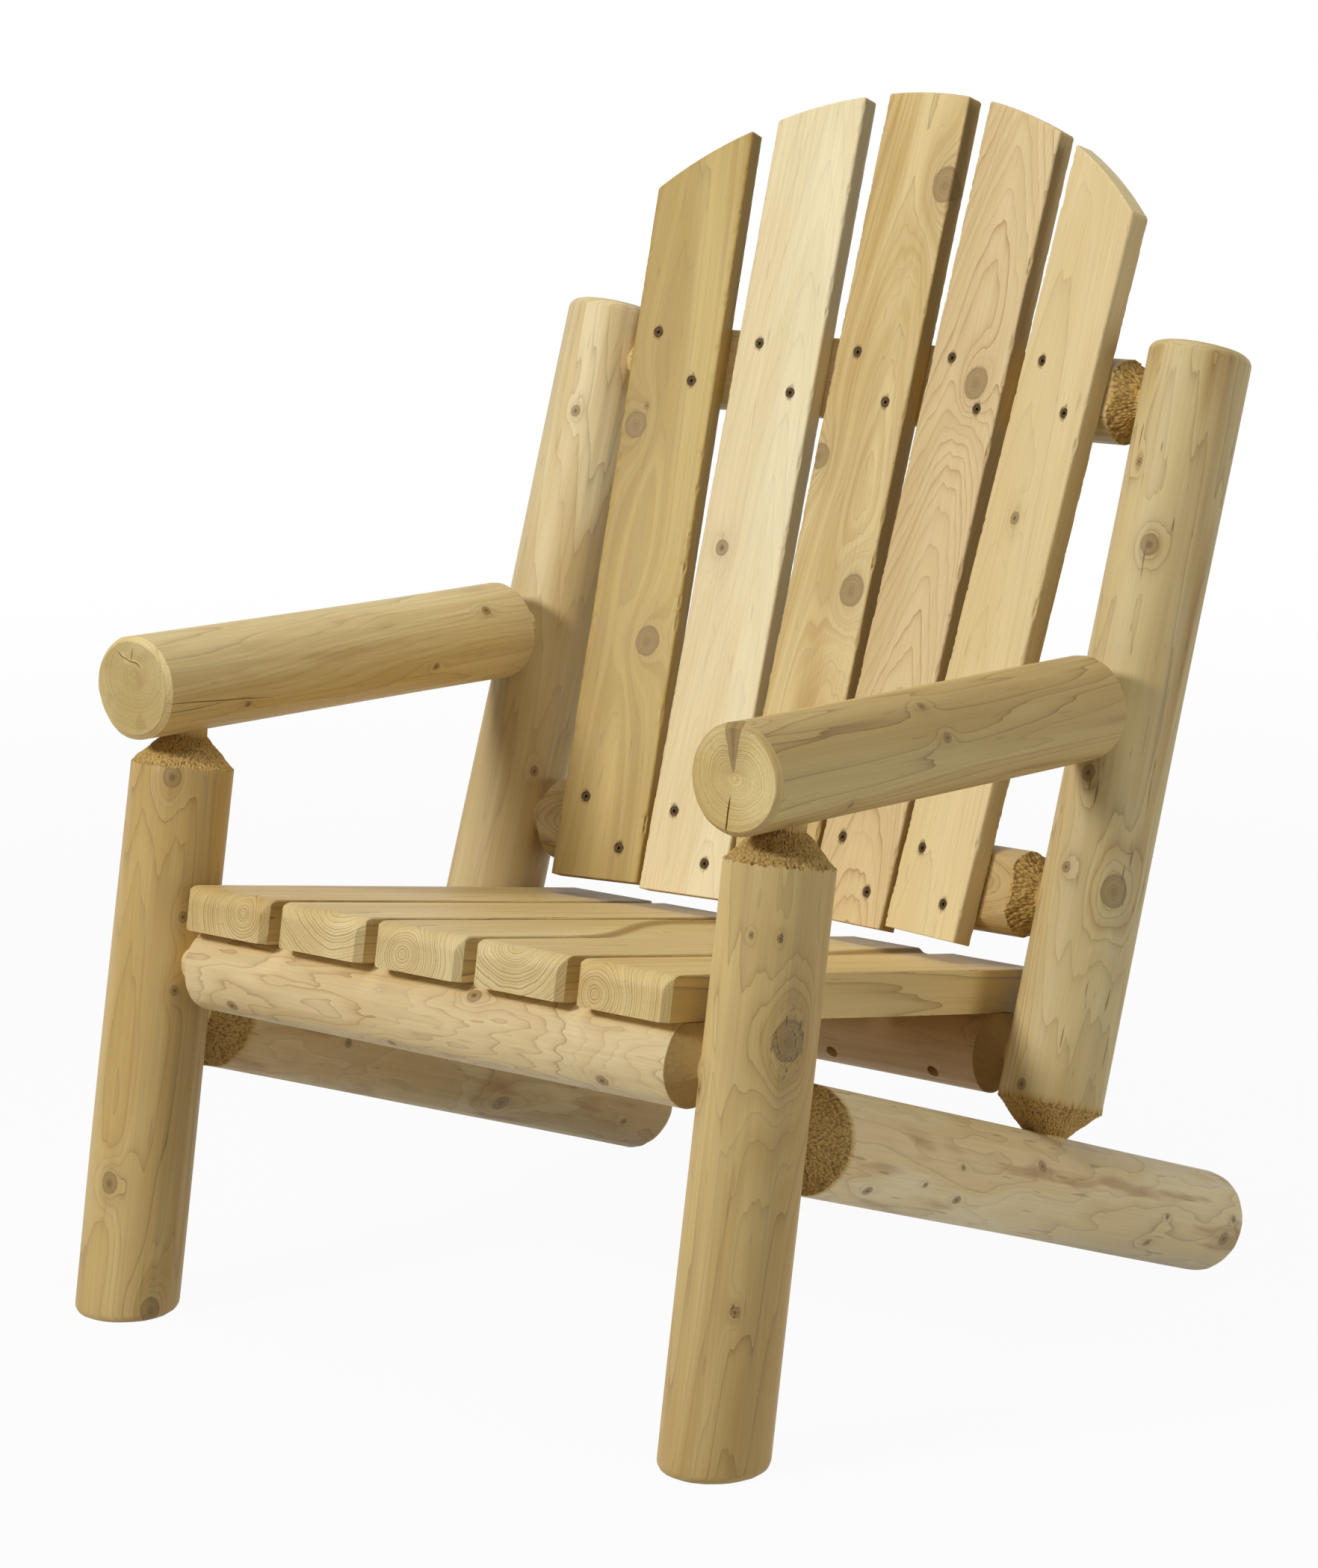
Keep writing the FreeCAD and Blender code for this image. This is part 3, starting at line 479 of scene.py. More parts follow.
def cut_away(piece, cutters):
    """Take the cutters' shapes out of a piece and drop the cutters."""
    points, faces = [], []
    for cutter_points, cutter_faces in cutters:
        start = len(points)
        points += cutter_points
        faces += [[start + corner for corner in face] for face in cutter_faces]
    cutter = put("cutter", new_mesh("cutter", points, faces))
    cutter.matrix_world = piece.matrix_world
    cut = piece.modifiers.new("cut", "BOOLEAN")
    cut.object = cutter
    cut.operation = "DIFFERENCE"
    cut.solver = "EXACT"
    shaped = piece.evaluated_get(bpy.context.evaluated_depsgraph_get())
    made = bpy.data.meshes.new_from_object(shaped)
    piece.modifiers.remove(cut)
    made.name = piece.data.name
    piece.data = made
    made.set_sharp_from_angle(angle=CRISP)
    bpy.data.objects.remove(cutter)


def strip_faces(count, loops):
    """Faces between closed loops of points, each loop having the same count."""
    faces = []
    for row in range(loops - 1):
        for step in range(count):
            following = (step + 1) % count
            faces.append((row * count + step, row * count + following, (row + 1) * count + following,
                          (row + 1) * count + step))
    return faces


def tube(rows, flip=False):
    """Closed shape through rows of points."""
    sides = len(rows[0])
    last = (len(rows) - 1) * sides
    faces = strip_faces(sides, len(rows))
    faces += [tuple(reversed(range(sides))), tuple(range(last, last + sides))]
    return [point for row in rows for point in row], [face[::-1] if flip else face for face in faces]


print("crisp from", round(math.degrees(CRISP)), "degrees")

# %% [markdown]
# A log is turned: an outline of heights and radii goes round its axis. Real peeled logs are a little out of
# round and swell at knots, so each point moves by a fraction of a millimetre of smooth noise. The coned
# shoulders come from a tenon cutter that tears the end grain into little clumps, so there the points follow a
# cell pattern: high in the middle of a clump and deep between clumps. The rim above the cone is ragged too.

# %% Turned logs
AROUND = 384
SIDE_STEP, END_STEP, TENON_STEP, CONE_STEP, RIM_STEPS = 0.008, 0.008, 0.01, 0.0007, 6
OUT_OF_ROUND = ((0.0012, 1.2, 3), (0.0005, 5, 1.5))
LOG_DRIFT = (7.3, 2.9, 4.1)
KNOT_SWELL, SWELL_FADE, SWELL_REACH, KNOT_RISE = 0.0008, 0.4, 4, 0.25
FINE_CLUMP, COARSE_CLUMP, CLUMP_LIFT, CLUMP_MIDDLE, CLUMP_LONG = 0.0016, 0.0027, 0.9, 0.4, 0.8
TEAR_WAVE, WAVE_LONG, RAGGED_RIM, RIM_REACH, RIM_TEETH = 0.0012, 0.011, 0.0022, 0.004, 22
# How deep a point lies between clumps sets how much painted shade it takes.
PIT_SHADE_FROM, PIT_SHADE_GAIN = 0.3, 1.25
CONE_R = 0.033
SOUND, TORN = (0.0, 0.0), (1.0, 1.0)


def run(start, end, step, torn=SOUND):
    """Outline points after start up to end: height, radius, and how brown and how rough the tearing is."""
    count = max(1, math.ceil(math.dist(start[:2], end[:2]) / step))
    return [(start[0] + (end[0] - start[0]) * i / count, start[1] + (end[1] - start[1]) * i / count, torn)
            for i in range(1, count + 1)]


def rim(height, radius, ease, toward_log):
    """Rounded edge between a flat end and the side; toward_log is +1 where the log goes up from that end."""
    arc = [(height + toward_log * ease * (1 - math.sin(a)), radius - ease * (1 - math.cos(a)), SOUND)
           for a in quarter(RIM_STEPS)]
    return arc[::-1] if toward_log > 0 else arc


def sawn_start(radius):
    """Flat end at height 0, from the middle out to a radius."""
    return [(0.0, 0.0, SOUND)] + run((0.0, 0.0), (0.0, radius), END_STEP)


def sawn_finish(height, ease):
    """Rounded rim and flat end where a log stops."""
    return rim(height, LOG_R, ease, -1) + run((height, LOG_R - ease), (height, 0.0), END_STEP)


def tenon_start(neck, radius, torn=TORN):
    """Tenon up to its neck, then the cone that widens to the log."""
    tip = (neck - TENON_DEPTH, TENON_R)
    outline = [(tip[0], 0.0, SOUND), (*tip, SOUND)] + run(tip, (neck, TENON_R), TENON_STEP)
    return outline + run((neck, TENON_R), (neck + (radius - TENON_R), radius), CONE_STEP, torn)


def tenon_finish(neck, radius, torn=TORN):
    """Cone that narrows from the log to the tenon's neck, then the tenon."""
    tip = (neck + TENON_DEPTH, TENON_R)
    outline = run((neck - (radius - TENON_R), radius), (neck, TENON_R), CONE_STEP, torn)
    return outline + run((neck, TENON_R), tip, TENON_STEP) + [(tip[0], 0.0, SOUND)]


def knot_spots(radius, spots):
    """Knots of a log: each one's place on the peeled side, the way its branch pointed, and its radius."""
    found = []
    for height, angle, size, *rise in spots:
        c, s = math.cos(math.radians(angle)), math.sin(math.radians(angle))
        aim = Vector((c, s, rise[0] if rise else KNOT_RISE)).normalized()
        found.append(((radius * c, radius * s, height), tuple(aim), size))
    return found


def turned_log(outline, seed, knots, rims, clump):
    """Points, faces, tear values and painted shade of an outline turned about local Z."""
    points, faces, torn, pit_shades, rings = [], [], [], [], []
    drift = drift_of(seed, LOG_DRIFT)
    for row, (height, radius, (brown, tear)) in enumerate(outline):
        before, after = outline[max(row - 1, 0)], outline[min(row + 1, len(outline) - 1)]
        slope = math.hypot(after[0] - before[0], after[1] - before[1]) or 1.0
        out_way, up_way = (after[0] - before[0]) / slope, -(after[1] - before[1]) / slope
        count = AROUND if radius > 0 else 1
        rings.append((len(points), count))
        fray = sum(math.exp(-((height - level) / RIM_REACH) ** 2) for level in rims)
        for turn in whole_turn(AROUND)[:count]:
            c, s = math.cos(turn), math.sin(turn)
            bulge = sum(size * noise.noise(Vector((c * round_pace, s * round_pace, height * up_pace)) + drift)
                        for size, round_pace, up_pace in OUT_OF_ROUND)
            for centre, _, size in knots:
                gap = (Vector((radius * c, radius * s, height)) - Vector(centre)).length / size
                bulge += KNOT_SWELL * math.exp(-SWELL_FADE * gap * gap) if gap < SWELL_REACH else 0.0
            wide = radius + bulge * min(1.0, radius / TENON_R)
            point = Vector((wide * c, wide * s, height))
            pit_shade = 0.0
            if tear:
                at = Vector((c * CONE_R, s * CONE_R, height * CLUMP_LONG)) / clump
                cell = noise.voronoi(at + drift)[0][0]
                lift = CLUMP_LIFT * clump * (CLUMP_MIDDLE - cell)
                lift += TEAR_WAVE * noise.noise(point / WAVE_LONG + drift)
                point += Vector((out_way * c, out_way * s, up_way)) * (lift * tear)
                # Painted shade: the deeper a point lies between clumps, the darker it is; untorn cones get a
                # middle value.
                pit_shade = tear * min(1.0, max(0.0, (cell - PIT_SHADE_FROM) * PIT_SHADE_GAIN)) + 0.5 * (1 - tear)
            if fray:
                teeth = noise.noise(Vector((c * RIM_TEETH, s * RIM_TEETH, 0)) + drift)
                point.z += RAGGED_RIM * fray * teeth
            points.append(point)
            torn.append(brown)
            pit_shades.append(pit_shade)
    for (low, low_count), (high, high_count) in zip(rings, rings[1:]):
        for step in range(AROUND):
            following = (step + 1) % AROUND
            if low_count == 1:
                faces.append((low, high + following, high + step))
            elif high_count == 1:
                faces.append((low + step, low + following, high))
            else:
                faces.append((low + step, low + following, high + following, high + step))
    return points, faces, torn, pit_shades


def log_piece(node, outline, seed, place, material, knots, rims=(), clump=FINE_CLUMP, reshape=None):
    """A turned log, reshaped point by point where it was sawn or planed, and finished."""
    points, faces, torn, pit_shades = turned_log(outline, seed, knots, rims, clump)
    for point in points if reshape else ():
        reshape(point)
    return finish_piece(node, points, faces, place, material, torn, pit_shades)


def pair_of_logs(node, label, seeds, start, way, outline, knots, woods, rims=(), reshape=None):
    """The left and right log of one kind, turned from one outline, each with its own knots and wood."""
    made = {}
    for side, name in SIDES:
        spots = knot_spots(LOG_R, knots[name])
        place = stand(start + RIGHT * side * HALF_WIDTH, way)
        material = cedar("%s_cedar_%s" % (label, name), seeds[1] + side, knots=spots, **woods[name])
        made[name] = log_piece("%s_%s" % (node, name), outline, seeds[0] + side, place, material, spots, rims,
                               reshape=reshape)
        print(made[name].name)
    return made


print("points round a log", AROUND)

# %% [markdown]
# Front legs. Each foot is sawn level, at a slant to the leaning log, and its edge is rounded. Instead of
# cutting the mesh, the lowest rings lean over until they lie flat on the floor. The head is a torn cone with a
# tenon that goes up into the arm. The biggest knot is gouged, because the plane caught in its crossed grain.

# %% Front legs
FOOT_EASE, FOOT_BLEND = 0.008, 0.12
LEG_WOOD = dict(pale=tint(216, 188, 125), deep=tint(195, 162, 97), wander=0.02, along=0.7, line_share=0.75,
                crowd=2.0)
LEG_WOODS = {"left": dict(gouged=0.1, **LEG_WOOD), "right": dict(gouged=0.75, **LEG_WOOD)}
LOG_CONE = LOG_R - TENON_R
leg_off_square = LEG_LEAN - ARM_DROP
leg_neck = ARM_HEIGHT / leg_way.z - LOG_R / math.cos(leg_off_square) - TENON_R * math.tan(leg_off_square)
leg_shoulder = leg_neck - LOG_CONE
LEG_KNOTS = {
    "left": [(0.493, -55, 0.0078), (0.120, -81, 0.008), (0.368, -28, 0.004), (0.301, -29, 0.004),
             (0.008, -19, 0.009), (0.430, 120, 0.006), (0.205, 165, 0.006)],
    "right": [(0.361, -24, 0.014), (0.138, -49, 0.0038), (0.445, -74, 0.0022), (0.445, -45, 0.0026),
              (0.312, -128, 0.0045), (0.250, 70, 0.006), (0.090, 150, 0.005)],
}


def level_foot(point):
    point.z += point.y * math.tan(LEG_LEAN) * max(0.0, 1 - point.z / FOOT_BLEND)


outline = sawn_start(LOG_R - FOOT_EASE) + rim(0.0, LOG_R, FOOT_EASE, 1)
outline += run((FOOT_EASE, LOG_R), (leg_shoulder, LOG_R), SIDE_STEP) + tenon_finish(leg_neck, LOG_R)
pair_of_logs("front_leg", "leg", (1.0, 3.0), FLOOR_POINT, leg_way, outline, LEG_KNOTS, LEG_WOODS,
             [leg_shoulder], level_foot)

# %% [markdown]
# Arms. A log lies on each leg's tenon and runs back to the post. Its front end shows the rings inside a crisp
# bevel; its rear end is sawn square and stops short of the leaning post, where a tenon bridges a dark wedge of
# a gap. Drying has opened the ends: a crack is a thin wedge, widest at the surface, cut along a crooked path.

# %% Arms
ARM_BEVEL, BEVEL_STEP, ARM_REAR_EASE = 0.005, 0.002, 0.003
arm_under = arm_front - leaning(ARM_DROP) * LOG_R
ARM_LENGTH = to_line(arm_under, arm_way, post_base + post_front * LOG_R, post_way) - ARM_GAP
arm_to_post = to_line(arm_front, arm_way, post_base, post_way)
ARM_TENON_END = arm_to_post - LOG_R / math.cos(POST_LEAN - ARM_DROP) + TENON_DEPTH
ARM_KNOTS = {
    "left": [(0.105, 27, 0.003), (0.440, -39, 0.0045), (0.359, 19, 0.0035), (0.250, 150, 0.006)],
    "right": [(0.230, -14, 0.0042), (0.216, -53, 0.004), (0.110, 40, 0.003), (0.400, 170, 0.006),
              (0.001, -92, 0.0088, 0.0)],
}
ARM_WOODS = {
    "left": dict(pale=tint(232, 210, 152), deep=tint(213, 184, 120), pith=(0.0, -0.011), line_share=0.5,
                 ring=0.0019, along=1.5, taper=0.008, smudge=0.2, end_tone=(0.78, 0.78, 0.72, 1)),
    "right": dict(pale=tint(209, 183, 121), deep=tint(187, 155, 92), pith=(0.001, -0.001), line_share=1.0,
                  ring=0.0015, along=0.8, taper=0.004, end_tone=(1.36, 1.48, 1.62, 1)),
}
END_CRACKS = {
    "left": [[(-0.019, -0.034), (-0.012, -0.028), (-0.001, -0.0245), (0.007, -0.0235), (0.013, -0.019)],
             [(0.0015, -0.038), (0.0005, -0.031), (-0.001, -0.0235)]],
    "right": [[(-0.003, 0.013), (-0.0042, 0.020), (-0.0055, 0.028), (-0.0065, 0.037), (-0.009, 0.050)]],
}
SIDE_CRACKS = {
    "left": [[(-0.004, 11), (0.030, 13), (0.062, 16), (0.100, 19), (0.138, 24)],
             [(-0.004, 22), (0.034, 22), (0.075, 19)]],
    "right": [],
}
END_WIDTH, SIDE_WIDTH, END_DEPTH, SIDE_DEPTH = 0.0017, 0.0011, 0.016, 0.008
CRACK_TIP, CRACK_LEVELS = 0.25, ((-0.15, 1.0), (1.0, 0.08))


def crack(mouths, depths, sideways, width):
    """Thin wedge cutter along a row of mouth points; each closes at its own depth vector."""
    points, faces = [], []
    last = len(mouths) - 1
    for i, (mouth, depth, aside) in enumerate(zip(mouths, depths, sideways)):
        half = 0.5 * width * (CRACK_TIP if i in (0, last) else 1.0)
        for level, share in CRACK_LEVELS:
            middle = mouth + depth * level
            points += [middle + aside * (half * share), middle - aside * (half * share)]
    for i in range(last):
        a, b = 4 * i, 4 * (i + 1)
        faces += [(a, b, b + 1, a + 1), (a + 1, b + 1, b + 3, a + 3), (a + 3, b + 3, b + 2, a + 2),
                  (a + 2, b + 2, b, a)]
    faces += [(0, 1, 3, 2), (4 * last + 2, 4 * last + 3, 4 * last + 1, 4 * last)]
    return points, faces


def end_crack(path):
    mouths = [Vector((x, y, 0)) for x, y in path]
    ways = [(after - before).normalized()
            for before, after in zip(mouths[:1] + mouths[:-1], mouths[1:] + mouths[-1:])]
    sideways = [Vector((-way.y, way.x, 0)) for way in ways]
    return crack(mouths, [UP * END_DEPTH] * len(path), sideways, END_WIDTH)


def side_crack(path, radius):
    around = [math.radians(angle) for _, angle in path]
    outs = [Vector((math.cos(turn), math.sin(turn), 0)) for turn in around]
    mouths = [out * radius + UP * height for out, (height, _) in zip(outs, path)]
    return crack(mouths, [out * -SIDE_DEPTH for out in outs], [UP.cross(out) for out in outs], SIDE_WIDTH)


outline = sawn_start(LOG_R - ARM_BEVEL) + run((0.0, LOG_R - ARM_BEVEL), (ARM_BEVEL, LOG_R), BEVEL_STEP)
outline += run((ARM_BEVEL, LOG_R), (ARM_LENGTH - ARM_REAR_EASE, LOG_R), SIDE_STEP)
outline += rim(ARM_LENGTH, LOG_R, ARM_REAR_EASE, -1)
outline += run((ARM_LENGTH, LOG_R - ARM_REAR_EASE), (ARM_LENGTH, TENON_R), END_STEP)
outline += run((ARM_LENGTH, TENON_R), (ARM_TENON_END, TENON_R), TENON_STEP)
outline += [(ARM_TENON_END, 0.0, SOUND)]
arms = pair_of_logs("arm", "arm", (5.0, 8.0), arm_front, arm_way, outline, ARM_KNOTS, ARM_WOODS)
for name, arm in arms.items():
    for path in END_CRACKS[name]:
        cut_away(arm, [end_crack(path)])
    for path in SIDE_CRACKS[name]:
        cut_away(arm, [side_crack(path, LOG_R)])
print("arm length", round(ARM_LENGTH, 4))

# %% [markdown]
# Side rails. Each starts in the front leg with a tenon and a very rough cone, carries the rear post, and
# slopes down to the floor, where its rounded rear end is the chair's rear foot. Sap has stained the wood.

# %% Side rails
REAR_EASE, FLOOR_TRIM = 0.008, 0.002
RAIL_GRAIN = dict(line=tint(146, 106, 58), line_share=0.7, patch=0.9, fleck=0.5, smudge=0.5, ring=0.0023,
                  warp=0.014, along=4.0, taper=0.012)
RAIL_WOODS = {
    "left": dict(pale=tint(236, 212, 155), deep=tint(214, 182, 123), **RAIL_GRAIN),
    "right": dict(pale=tint(250, 233, 186), deep=tint(236, 209, 153), **RAIL_GRAIN),
}
rail_off_square = POST_LEAN - LEG_LEAN
rail_neck = LOG_R / math.cos(rail_off_square) + TENON_R * math.tan(rail_off_square)
RAIL_END = (rail_at_leg.z - LOG_R * post_way.z + FLOOR_TRIM) / post_way.y
RAIL_KNOTS = {
    "left": [(0.464, 36, 0.008), (0.659, 28, 0.004), (0.213, 0, 0.004), (0.380, 160, 0.006)],
    "right": [(0.376, -24, 0.005), (0.130, 41, 0.0045), (0.257, 31, 0.004), (0.592, 3, 0.0028),
              (0.582, 38, 0.004), (0.700, 15, 0.006), (0.709, -9, 0.0032), (0.249, -5, 0.0026),
              (0.201, 21, 0.0026)],
}


def tenoned(neck, end, ease):
    """Outline of a log that starts with a tenon and a torn cone and ends sawn square with a rounded rim."""
    side = run((neck + LOG_CONE, LOG_R), (end - ease, LOG_R), SIDE_STEP)
    return tenon_start(neck, LOG_R) + side + sawn_finish(end, ease)


pair_of_logs("side_rail", "side_rail", (11.0, 14.0), rail_at_leg, rail_way,
             tenoned(rail_neck, RAIL_END, REAR_EASE), RAIL_KNOTS, RAIL_WOODS, [rail_neck + LOG_CONE])

# %% [markdown]
# Rear posts. A torn cone stands on the side rail, and the top is sawn square with a well rounded rim. The back
# rails' tenons go into the posts, where they are hidden.

# %% Rear posts
POST_EASE = 0.009
POST_WOODS = {
    "left": dict(pale=tint(238, 218, 168), deep=tint(216, 188, 130), along=0.8, line_share=0.6, patch=0.8),
    "right": dict(pale=tint(219, 197, 141), deep=tint(196, 166, 106), along=1.2, fleck=0.8, patch=0.8),
}
post_neck = to_line(post_base, post_way, rail_at_leg, rail_way) + LOG_R
POST_KNOTS = {
    "left": [(0.800, -74, 0.0045), (0.443, -33, 0.004), (0.620, 60, 0.006), (0.330, 140, 0.005)],
    "right": [(0.801, -105, 0.0035), (0.727, -71, 0.008), (0.416, -34, 0.012), (0.516, -88, 0.006),
              (0.430, -92, 0.004), (0.233, -94, 0.0045), (0.560, 100, 0.006)],
}


pair_of_logs("rear_post", "post", (17.0, 20.0), post_base, post_way, tenoned(post_neck, POST_TOP, POST_EASE),
             POST_KNOTS, POST_WOODS, [post_neck + LOG_CONE])

# %% [markdown]
# Cross rails. Four thinner logs join the two sides, each with a cone and a tenon at both ends. Some cones are
# torn rough and some are cut clean, depending on how sharp the cutter was. The seat rails are planed flat on
# top where the slats lie. The back rails are hollowed in front to one long round, so the back slats wrap a
# little about the sitter. Points that stand above the flat or the hollow are simply laid onto it.

# %% Cross rails
SEAT_FLAT = 0.034
HOLLOW_R, HOLLOW_SLACK = 1.134, 0.001
CUT_CLEAN = (0.9, 0.12)
LOWER_ABOVE_SEAT_RAIL, UPPER_BELOW_TOP = 0.1439, 0.054
cross_neck = HALF_WIDTH - LOG_R
cross_shoulder = cross_neck - (CROSS_R - TENON_R)
rear_rail_up = to_line(post_base, post_way, front_rail_at, seat_way)
LOWER_UP, UPPER_UP = rear_rail_up + LOWER_ABOVE_SEAT_RAIL, POST_TOP - UPPER_BELOW_TOP
CROSS_KNOTS = {
    "front_seat_rail": [(-0.224, 124, 0.005), (0.059, 43, 0.006), (0.207, 120, 0.005), (-0.036, 135, 0.004)],
    "rear_seat_rail": [(0.286, 54, 0.005), (-0.100, 60, 0.006)],
    "upper_back_rail": [(0.120, 200, 0.007), (-0.150, 250, 0.006)],
    "lower_back_rail": [(0.060, 230, 0.008), (-0.200, 190, 0.006)],
}
FRONT_WOOD = dict(pale=tint(231, 208, 156), deep=tint(219, 190, 135), line=tint(154, 112, 66), warp=0.014,
                  along=4.0, ring=0.0011, taper=0.02)
REAR_WOOD = dict(pale=tint(212, 178, 126), deep=tint(194, 156, 102))
UPPER_CRACK = [(0.250, 104), (0.258, 106), (0.266, 105), (0.279, 107)]


def cross_log(node, centre, seed, cut_way, limit, left_torn, right_torn, wood):
    """A cross rail whose points stay below a limit in one direction, a function of the place along it."""
    knots = knot_spots(CROSS_R, CROSS_KNOTS[node])
    outline = tenon_start(-cross_neck, CROSS_R, left_torn)
    outline += run((-cross_shoulder, CROSS_R), (cross_shoulder, CROSS_R), SIDE_STEP)
    outline += tenon_finish(cross_neck, CROSS_R, right_torn)
    ends = ((-cross_shoulder, left_torn), (cross_shoulder, right_torn))
    place = stand(centre, RIGHT, UP)
    normal = place.to_3x3().transposed() @ cut_way

    def lay_down(point):
        point -= normal * max(0.0, point.dot(normal) - limit(point.z))

    return log_piece(node, outline, seed, place, cedar(node + "_cedar", seed, knots=knots, **wood), knots,
                     [end for end, cut in ends if cut == TORN], COARSE_CLUMP, lay_down)


def planed(_):
    return SEAT_FLAT


def hollowed(along):
    return HOLLOW_R - math.sqrt(HOLLOW_R ** 2 - along ** 2) - HOLLOW_SLACK


rear_rail_at = post_base + post_way * rear_rail_up
upper_at, lower_at = post_base + post_way * UPPER_UP, post_base + post_way * LOWER_UP
front_seat_rail = cross_log("front_seat_rail", front_rail_at, 23.0, seat_up, planed, SOUND, CUT_CLEAN,
                            FRONT_WOOD)
rear_seat_rail = cross_log("rear_seat_rail", rear_rail_at, 24.0, seat_up, planed, CUT_CLEAN, CUT_CLEAN,
                           REAR_WOOD)
upper_back_rail = cross_log("upper_back_rail", upper_at, 25.0, post_front, hollowed, TORN, TORN, {})
cross_log("lower_back_rail", lower_at, 26.0, post_front, hollowed, SOUND, TORN, {})
cut_away(upper_back_rail, [side_crack(UPPER_CRACK, CROSS_R)])
print("rails at", [round(v, 4) for v in rear_rail_at], round(LOWER_UP, 4), round(UPPER_UP, 4))

# %% [markdown]
# Pocket holes. The seat is screwed from below, through slanted holes in the inner sides of the two seat rails.
# Each hole is a plain round cutter taken out of the rail.

# %% Pocket holes
SEAT_PITCH, SEAT_SLATS = 0.1144, 5
POCKET_R, POCKET_DEPTH, POCKET_LEAD, POCKET_SIDES = 0.006, 0.030, 0.03, 24
POCKET_ENTRY, POCKET_TILT = math.radians(43), math.radians(30)


def from_middle(number, count):
    """Whole or half steps from the middle of a row of slats numbered from 1."""
    return number - (count + 1) / 2


def round_cutter(start, along, low, high, radius):
    """Closed round cutter from low to high along a direction, in the piece's own frame."""
    place = stand(start, along, along.orthogonal().normalized())
    return tube([[place @ Vector((radius * math.cos(turn), radius * math.sin(turn), level))
                  for turn in whole_turn(POCKET_SIDES)] for level in (low, high)])


def pocket_holes(rail, centre, inner):
    to_local = rail.matrix_world.inverted()
    along = seat_up * math.cos(POCKET_TILT) - seat_way * (inner * math.sin(POCKET_TILT))
    local_way = (to_local.to_3x3() @ along).normalized()
    cutters = []
    for number in range(1, SEAT_SLATS + 1):
        mouth = centre + RIGHT * (from_middle(number, SEAT_SLATS) * SEAT_PITCH)
        mouth += seat_way * (inner * math.cos(POCKET_ENTRY) * CROSS_R)
        mouth -= seat_up * (math.sin(POCKET_ENTRY) * CROSS_R)
        cutters.append(round_cutter(to_local @ mouth, local_way, -POCKET_LEAD, POCKET_DEPTH, POCKET_R))
    cut_away(rail, cutters)


pocket_holes(front_seat_rail, front_rail_at, 1)
pocket_holes(rear_seat_rail, rear_rail_at, -1)
print("pocket holes", 2 * SEAT_SLATS)

# %% [markdown]
# Boards. A planed board is a rounded oblong drawn out along its grain. Its section is a closed loop of points,
# each with the way it faces, so an edge can be eased by stepping inwards. The arrises are chipped here and
# there, which noise along the edge decides.

# %% Board sections
EDGE_STEPS, SIDE_PARTS = 4, 4
CHIP_DEPTH, CHIP_FROM, CHIP_ACROSS, ON_ARRIS = 0.0022, 0.1, 30, 0.2
CHIP_WAVES = ((45, 1.0), (230, 0.6), (510, 0.7))


def section(width, thick, ease_front, ease_back, columns):
    """Loop of (x, y, facing x, facing y) round a board: front at y = -thick, back at y = 0."""
    def corner(x, y, ease, first):
        return [(x + ease * math.cos(turn), y + ease * math.sin(turn), math.cos(turn), math.sin(turn))
                for turn in quarter(EDGE_STEPS, first)]

    half = width / 2
    f, b = ease_front, ease_back
    tall = thick - f - b
    front = [(-half + f + (width - 2 * f) * i / columns, -thick, 0.0, -1.0) for i in range(1, columns)]
    back = [(half - b - (width - 2 * b) * i / columns, 0.0, 0.0, 1.0) for i in range(1, columns)]
    right = [(half, -thick + f + tall * i / SIDE_PARTS, 1.0, 0.0) for i in range(1, SIDE_PARTS)]
    left = [(-half, -b - tall * i / SIDE_PARTS, -1.0, 0.0) for i in range(1, SIDE_PARTS)]
    return (front + corner(half - f, -thick + f, f, -90) + right + corner(half - b, -b, b, 0)
            + back + corner(-half + b, -b, b, 90) + left + corner(-half + f, -thick + f, f, 180))


def chipped(x, y, facing, height, drift, amount):
    """How far an arris is broken away at a height along the board."""
    if abs(facing[0]) < ON_ARRIS or abs(facing[1]) < ON_ARRIS:
        return 0.0
    rough = sum(share * noise.noise(Vector((x * CHIP_ACROSS, y * CHIP_ACROSS, height * pace)) + drift)
                for pace, share in CHIP_WAVES)
    return amount * CHIP_DEPTH * max(0.0, rough - CHIP_FROM)


def cap_faces(count, columns, start, flip):
    """Close one end: strips between front and back points, and one many-sided face at each edge."""
    edge = 2 * (EDGE_STEPS + 1) + SIDE_PARTS - 1
    front = [start + i for i in range(columns - 1)]
    right = [start + columns - 1 + i for i in range(edge)]
    back = [start + columns - 1 + edge + i for i in range(columns - 1)]
    left = [start + 2 * (columns - 1) + edge + i for i in range(count - 2 * (columns - 1) - edge)]
    faces = [(front[i], front[i + 1], back[columns - 3 - i], back[columns - 2 - i])
             for i in range(columns - 2)]
    faces += [(front[-1], *right, back[0]), (back[-1], *left, front[0])]
    return [face[::-1] if flip else face for face in faces]


def board_faces(count, columns, loops):
    caps = cap_faces(count, columns, 0, True) + cap_faces(count, columns, (loops - 1) * count, False)
    return strip_faces(count, loops) + caps


print("section points", len(section(0.09, 0.02, 0.002, 0.001, 12)))

# %% [markdown]
# Back slats. Five boards fan out upwards in the hollow of the back rails. Their feet are sawn square and their
# tops follow one big arch, so each board's top is the part of that circle that falls within its width.

